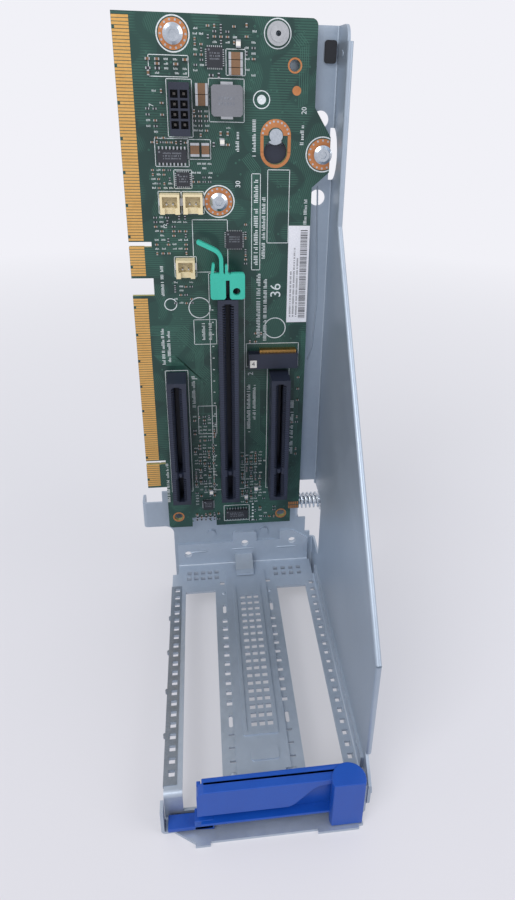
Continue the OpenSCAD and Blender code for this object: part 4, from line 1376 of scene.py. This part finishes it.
class BoardPrint:
    """White print on the board: outlines, rings, plain numbers and rows of short bars."""

    def __init__(self) -> None:
        """Seeds the rows."""
        self.dice = random.Random(19)
        self.ink = Shaper()

    def row(self, start: Spot, length: float, height: float) -> None:
        """Prints an upward row of short bars, as a stand-in for a line of words.

        Args:
            start: Lower left corner, x and z.
            length: Length of the row.
            height: Height of the bars.
        """
        z = start[1]
        while z < start[1] + length:
            if self.dice.random() < 0.85:
                short = self.dice.choice((0.0, 0.0, 0.35)) * height
                self.ink.tile((start[0] + short, z, start[0] + height, z + 0.2 * height), SILK_RISE)
            z += 0.42 * height

    def outlines(self) -> None:
        """Prints the outlines of parts."""
        for area in ((-24.8, 43.6, -15.9, 101.2), (15.9, 43.6, 24.8, 101.2),
                     (-6.7, 43.6, 6.7, 140.4), (-12.0, 141.0, 0.6, 160.2),
                     (7.4, 102.0, 28.2, 112.0), (-23.5, 162.3, -15.6, 170.0),
                     (-15.4, 162.3, -7.6, 170.0), (-19.0, 139.2, -11.0, 146.8),
                     (-18.9, 187.9, -10.6, 205.7), (-5.0, 192.9, 6.8, 206.2),
                     (9.4, 141.7, 12.5, 176.2), (15.1, 151.8, 22.9, 177.6),
                     (-12.8, 112.2, -4.2, 122.3), (-24.2, 206.3, -11.4, 212.6),
                     (-23.7, 178.3, -12.3, 187.4), (-17.7, 171.0, -11.6, 177.2),
                     (0.9, 207.2, 7.2, 214.9), (-12.6, 180.8, -4.8, 187.2),
                     (-12.4, 72.0, -5.0, 85.0), (-2.6, 26.8, 8.6, 35.0)):
            self.ink.outline(area)

    def rings(self) -> None:
        """Prints rings and spots."""
        for spot, radius in (((-10.4, 127.1), 4.2), ((18.6, 118.4), 4.3), ((-21.2, 128.6), 2.4),
                             ((17.8, 219.8), 4.5), ((12.7, 200.1), 2.9)):
            self.ink.ring(spot, radius - 0.32, radius, SILK_RISE)
        self.ink.disc((12.7, 200.1), 1.5, SILK_RISE, 20)

    def rows(self) -> None:
        """Prints rows of bars and the slots' numbers."""
        for start, length, height in (
                ((10.2, 143.6), 30.4, 1.5), ((13.1, 146.0), 22.0, 1.3), ((11.3, 114.0), 26.0, 1.5),
                ((14.0, 113.2), 25.0, 1.3), ((25.8, 60.0), 26.0, 1.4), ((7.6, 72.0), 22.0, 1.4),
                ((10.0, 78.0), 16.0, 1.2), ((-27.0, 38.0), 20.0, 1.1), ((-14.6, 84.6), 14.0, 1.3),
                ((-9.8, 114.0), 7.0, 1.2), ((-7.2, 114.0), 7.0, 1.2), ((-25.6, 104.0), 15.0, 1.2),
                ((-23.4, 105.0), 13.0, 1.2), ((28.4, 158.6), 9.0, 1.2), ((26.2, 186.0), 7.0, 1.3),
                ((9.6, 182.0), 12.0, 1.2), ((-24.4, 132.0), 12.0, 1.1), ((3.8, 183.0), 7.0, 1.2)):
            self.row(start, length, height)
        z = 46.0
        while z < 132.0:
            self.ink.tile((-5.9, z, -5.2, z + 0.35), SILK_RISE)
            z += 5.0
        for text, spot, height in (("1", (-13.2, 97.4), 2.2), ("2", (9.2, 99.0), 2.2),
                                   ("3", (27.4, 104.0), 2.2), ("7", (-24.0, 197.6), 1.6),
                                   ("20", (27.4, 197.0), 1.8), ("30", (4.6, 172.6), 1.8),
                                   ("36", (18.8, 133.6), 4.2), ("12", (-21.6, 157.8), 1.3)):
            self.ink.numeral(text, height, spot, -90.0)

    def build(self) -> list[bpy.types.Object]:
        """Builds the print.

        Returns:
            The piece.
        """
        self.outlines()
        self.rings()
        self.rows()
        return [self.ink.piece("board_print", SILK)]


# --------------------------------------------------------- connectors and chips

CHIPS: list[tuple[float, float, float, float, float]] = [
    (-2.8, 212.3, 5.2, 6.0, 0.9), (-18.0, 181.8, 10.0, 4.2, 1.7), (-14.6, 174.1, 4.6, 4.6, 1.0),
    (3.0, 153.0, 6.0, 6.0, 1.4), (3.0, 30.8, 9.6, 4.4, 1.6), (-9.5, 36.2, 4.4, 4.8, 0.9),
]
BIG_CAPS: list[tuple[float, float, float, float, float]] = [
    (4.0, 213.0, 4.6, 2.1, 1.6), (4.0, 210.7, 4.6, 2.1, 1.6), (4.0, 208.4, 4.6, 2.1, 1.6),
    (-7.4, 203.0, 4.1, 3.3, 1.8), (-7.4, 199.5, 4.1, 3.3, 1.8),
    (-10.2, 184.0, 3.0, 4.4, 1.6), (-6.6, 184.0, 2.6, 4.4, 1.6),
]


class ChipDetails:
    """Marks on chips, fine leads around the flat packs and the ends of large capacitors."""

    def build(self) -> list[bpy.types.Object]:
        """Builds the details.

        Returns:
            The pieces.
        """
        marks, ends, leads = Shaper(), Shaper(), Shaper()
        dice = random.Random(5)
        for x, z, wide, high, thick in CHIPS:
            face = -thick
            marks.disc((x - wide / 2 + 0.75, z + high / 2 - 0.75), 0.32, 0.015, 12, face)
            for line in range(3):
                level = z + high * 0.18 - line * 0.85
                cursor = x - wide * 0.3
                while cursor < x + wide * 0.3:
                    marks.block((cursor, face - 0.015, level), (cursor + 0.22, face + SINK,
                                level + dice.choice((0.4, 0.5))))
                    cursor += dice.choice((0.4, 0.4, 0.7))
        for x, z, wide, high, thick in BIG_CAPS:
            if wide >= high:
                strips = [(x - wide / 2 - 0.02, z - high / 2 - 0.02, x - wide / 2 + 0.8, z + high / 2 + 0.02),
                          (x + wide / 2 - 0.8, z - high / 2 - 0.02, x + wide / 2 + 0.02, z + high / 2 + 0.02)]
            else:
                strips = [(x - wide / 2 - 0.02, z - high / 2 - 0.02, x + wide / 2 + 0.02, z - high / 2 + 0.8),
                          (x - wide / 2 - 0.02, z + high / 2 - 0.8, x + wide / 2 + 0.02, z + high / 2 + 0.02)]
            for strip in strips:
                ends.tile(strip, thick + 0.03)
        for x, z, wide, high, _ in (CHIPS[0], CHIPS[2], CHIPS[5], CHIPS[3]):
            count = int(wide / 0.65)
            for index in range(count):
                shift = (index - (count - 1) / 2) * 0.65
                for side in (-1, 1):
                    leads.tile((x + shift - 0.15, z + side * (high / 2 + 0.22) - 0.28,
                                x + shift + 0.15, z + side * (high / 2 + 0.22) + 0.28), 0.16)
                    leads.tile((x + side * (wide / 2 + 0.22) - 0.28, z + shift - 0.15,
                                x + side * (wide / 2 + 0.22) + 0.28, z + shift + 0.15), 0.16)
        for row in range(2):
            for index in range(6):
                marks.block((-1.9 + index * 0.95, -4.42, 198.2 + row * 1.7),
                            (-1.35 + index * 0.95, -4.35, 199.2 + row * 1.7))
        return [marks.piece("chip_marks", GREY_INK), ends.piece("capacitor_ends", SOLDER),
                leads.piece("fine_leads", SOLDER)]


@dataclass
class SlotDetails:
    """Ridges beside the grooves, blank upper ends, and the prongs of the small sockets."""

    pitch: float = 20.32
    foot: float = 44.5
    face: float = -11.25
    half_width: float = 3.75

    def build(self) -> list[bpy.types.Object]:
        """Builds the details.

        Returns:
            The pieces.
        """
        ridges, prongs, tile, digits = Shaper(), Shaper(), Shaper(), Shaper()
        for x, length in ((-self.pitch, 56.0), (0.0, 89.0), (self.pitch, 56.0)):
            for side in (-1, 1):
                inner = x + side * 2.15
                outer = x + side * 3.35
                for step in range(int(length - 5.5)):
                    z = self.foot + 2.2 + step
                    ridges.block((min(inner, outer), self.face - 0.1, z),
                                 (max(inner, outer), self.face + 0.1, z + 0.42))
                for index in range(int(length / 7)):
                    z = self.foot + 3.5 + index * 7
                    edge = x + side * self.half_width
                    ridges.block((min(edge, edge + side * 0.12), self.face + 1.2, z),
                                 (max(edge, edge + side * 0.12), -1.4, z + 0.5))
        for x, z in ((-19.5, 166.1), (-11.5, 166.2), (-15.0, 143.0)):
            for side in (-1, 1):
                prongs.block((x + side * 1.1 - 0.25, -3.6, z - 0.25),
                             (x + side * 1.1 + 0.25, -0.9, z + 0.25))
                prongs.tile((x + side * 3.4 - 0.5, z - 1.0, x + side * 3.4 + 0.7, z + 1.6), 0.5)
        tile.block((8.58, -4.34, 103.36), (11.22, -4.2, 106.44))
        digits.numeral("4", 1.9, (9.9, 104.9), 0.0, 4.35)
        # The ridges carry the lighter slot plastic, a painted highlight.
        return [ridges.piece("slot_ridges", SLOT_RIDGE_HIGHLIGHT), prongs.piece("socket_prongs", SOLDER),
                tile.piece("module_number_tile", WHITE_PART),
                digits.piece("module_number", BLACK_INK)]


class LabelPrint:
    """Generic bars and rules on the label."""

    def build(self) -> list[bpy.types.Object]:
        """Builds the print.

        Returns:
            The piece.
        """
        ink = Shaper()
        dice = random.Random(3)
        front, back = -0.125, -0.08
        z = 122.4
        while z < 156.4:
            thick = dice.choice((0.16, 0.22, 0.34))
            ink.block((27.6, front, z), (30.2, back, z + thick))
            z += thick + dice.choice((0.18, 0.26, 0.4))
        for x, low, high in ((24.0, 123.0, 141.0), (25.2, 123.0, 150.0), (26.4, 123.0, 146.0)):
            z = low
            while z < high:
                ink.block((x, front, z), (x + 0.62, back, z + 0.17))
                z += dice.choice((0.36, 0.36, 0.36, 0.7))
        return [ink.piece("label_print", BLACK_INK)]


# ------------------------------------------------------------------ sheet metal

class SheetDetails:
    """Pressed details of the folded sheet that stand slightly proud of it."""

    def build(self) -> list[bpy.types.Object]:
        """Builds the details.

        Returns:
            The pieces.
        """
        wall, plate, panel = Shaper(), Shaper(), Shaper()
        for y in (-17.8, -34.4, -61.1, -77.7, -97.0):
            wall.dome((WALL_X - 1.0, y, 3.4), (0.28, 1.1, 1.1))
        wall.dome((WALL_X, -3.0, 214.5), (0.3, 1.6, 1.2))
        ridge = [(33.9, 171.0), (34.6, 150.0), (35.5, 128.0), (34.4, 109.0), (32.9, 103.0)]
        for start, end in zip(ridge, ridge[1:]):
            for share in range(12):
                x = start[0] + (end[0] - start[0]) * share / 12
                z = start[1] + (end[1] - start[1]) * share / 12
                reach = (start[1] - end[1]) / 12
                plate.dome((x, 4.0, z - reach / 2), (0.32, 0.26, reach), 12)
        for left, right, z in ((0.6, 11.0, 8.0), (21.4, 31.0, 7.6), (-18.6, -10.6, 7.4)):
            plate.dome(((left + right) / 2, 3.0, z), ((right - left) / 2, 0.35, 0.55), 24)
        for y in (-17.0, -101.5):
            for x in (-3.9, 16.3):
                panel.dome((x, y, 0.0), (0.9, 0.9, 0.25), 16)
        return [wall.piece("wall_dimples", ZINC, smooth=True),
                plate.piece("plate_beads", ZINC, smooth=True),
                panel.piece("strut_dimples", ZINC_PANEL, smooth=True)]


# ---------------------------------------------------------------------- studio

@dataclass
class Studio:
    """Floor, soft lights, pale surroundings and the camera."""

    eye: tuple[float, float, float] = (-9.2, -240.5, 207.0)
    yaw: float = 8.02
    pitch: float = 25.90
    roll: float = 1.69
    focal: float = 652.0
    frame_long: float = 900.0
    shift: Spot = (-0.034, -0.0617)
    surround: Colour = shade(241, 241, 247)

    def camera(self) -> None:
        """Makes the camera."""
        yaw, pitch, roll = (math.radians(v) for v in (self.yaw, self.pitch, self.roll))
        right = Vector((math.cos(yaw), -math.sin(yaw), 0.0))
        ahead = Vector((math.sin(yaw) * math.cos(pitch), math.cos(yaw) * math.cos(pitch),
                        -math.sin(pitch)))
        up = right.cross(ahead)
        right, up = (math.cos(roll) * right + math.sin(roll) * up,
                     math.cos(roll) * up - math.sin(roll) * right)
        data = bpy.data.cameras.new("view")
        data.sensor_width = 36.0
        data.lens = self.focal / self.frame_long * 36.0
        data.shift_x, data.shift_y = self.shift
        data.clip_start = 0.01
        turn = Matrix((right, up, -ahead)).transposed().to_4x4()
        holder = bpy.data.objects.new("view", data)
        holder.matrix_world = Matrix.Translation(DATUM.place(*self.eye)) @ turn
        bpy.context.scene.collection.objects.link(holder)
        bpy.context.scene.camera = holder

    def lamp(self, name: str, spot: Sequence[float], size: float, power: float) -> None:
        """Makes a soft lamp that faces the bracket.

        Args:
            name: Its name.
            spot: Its place in metres.
            size: Its side in metres.
            power: Its power in watts.
        """
        data = bpy.data.lights.new(name, "AREA")
        data.size = size
        data.energy = power
        holder = bpy.data.objects.new(name, data)
        place = Vector(spot)
        aim = (Vector((0.0, 0.0, 0.1)) - place).to_track_quat("-Z", "Y")
        holder.matrix_world = Matrix.Translation(place) @ aim.to_matrix().to_4x4()
        bpy.context.scene.collection.objects.link(holder)

    def world(self) -> None:
        """Makes the pale surroundings."""
        world = bpy.data.worlds.new("surroundings")
        world.use_nodes = True
        bpy.context.scene.world = world
        graph = Graph(world.node_tree)
        ray = graph.node("ShaderNodeLightPath")
        seen = graph.math("MAXIMUM", Sock(graph, ray.outputs["Is Camera Ray"]),
                          Sock(graph, ray.outputs["Is Transmission Ray"]))
        glossy = Sock(graph, ray.outputs["Is Glossy Ray"])
        soft = graph.node("ShaderNodeBackground", None, {"Color": self.surround, "Strength": 0.8})
        clear = graph.node("ShaderNodeBackground", None, {"Color": self.surround, "Strength": 1.0})
        shown = graph.math("MAXIMUM", seen, glossy)
        mixed = graph.node("ShaderNodeMixShader", None, {
            0: shown, 1: Sock(graph, soft.outputs[0]), 2: Sock(graph, clear.outputs[0]),
        })
        graph.node("ShaderNodeOutputWorld", None, {"Surface": Sock(graph, mixed.outputs[0])})

    def floor(self) -> None:
        """Makes the floor."""
        bm = bmesh.new()
        bmesh.ops.create_grid(bm, x_segments=4, y_segments=4, size=6.0,
                              matrix=Matrix.Translation((0.0, 0.0, float(CAD_BOUNDS[0][2]))))
        mesh = bpy.data.meshes.new("floor")
        bm.to_mesh(mesh)
        bm.free()
        mesh.materials.append(material_of(StudioFloor()))
        obj = bpy.data.objects.new("floor", mesh)
        bpy.context.scene.collection.objects.link(obj)

    def build(self) -> None:
        """Builds the studio."""
        bpy.context.scene.view_settings.view_transform = "Standard"
        self.camera()
        self.world()
        self.floor()
        self.lamp("key_lamp", (-0.45, -0.55, 0.75), 0.5, 4.8)
        self.lamp("fill_lamp", (0.65, -0.35, 0.55), 0.6, 2.6)


def main() -> None:
    """Builds every part of the scene."""
    logging.basicConfig(level=logging.INFO, format="%(message)s")
    assemblies = (
        CadDress(), EdgeFingers(), Tracks(), MountPads(), BoardPrint(), SmallParts(),
        ChipDetails(), SlotDetails(), LabelPrint(), SheetDetails(),
        BracketLatch(), PressedSpring(),
        MouldedLatch("card_latch", "card_retainer", TEAL, 0.25),
    )
    for assembly in assemblies:
        for obj in assembly.build():
            logging.info("%s: %s with %d faces", type(assembly).__name__, obj.name,
                         len(obj.data.polygons))
    Studio().build()


if __name__ == "__main__":
    main()
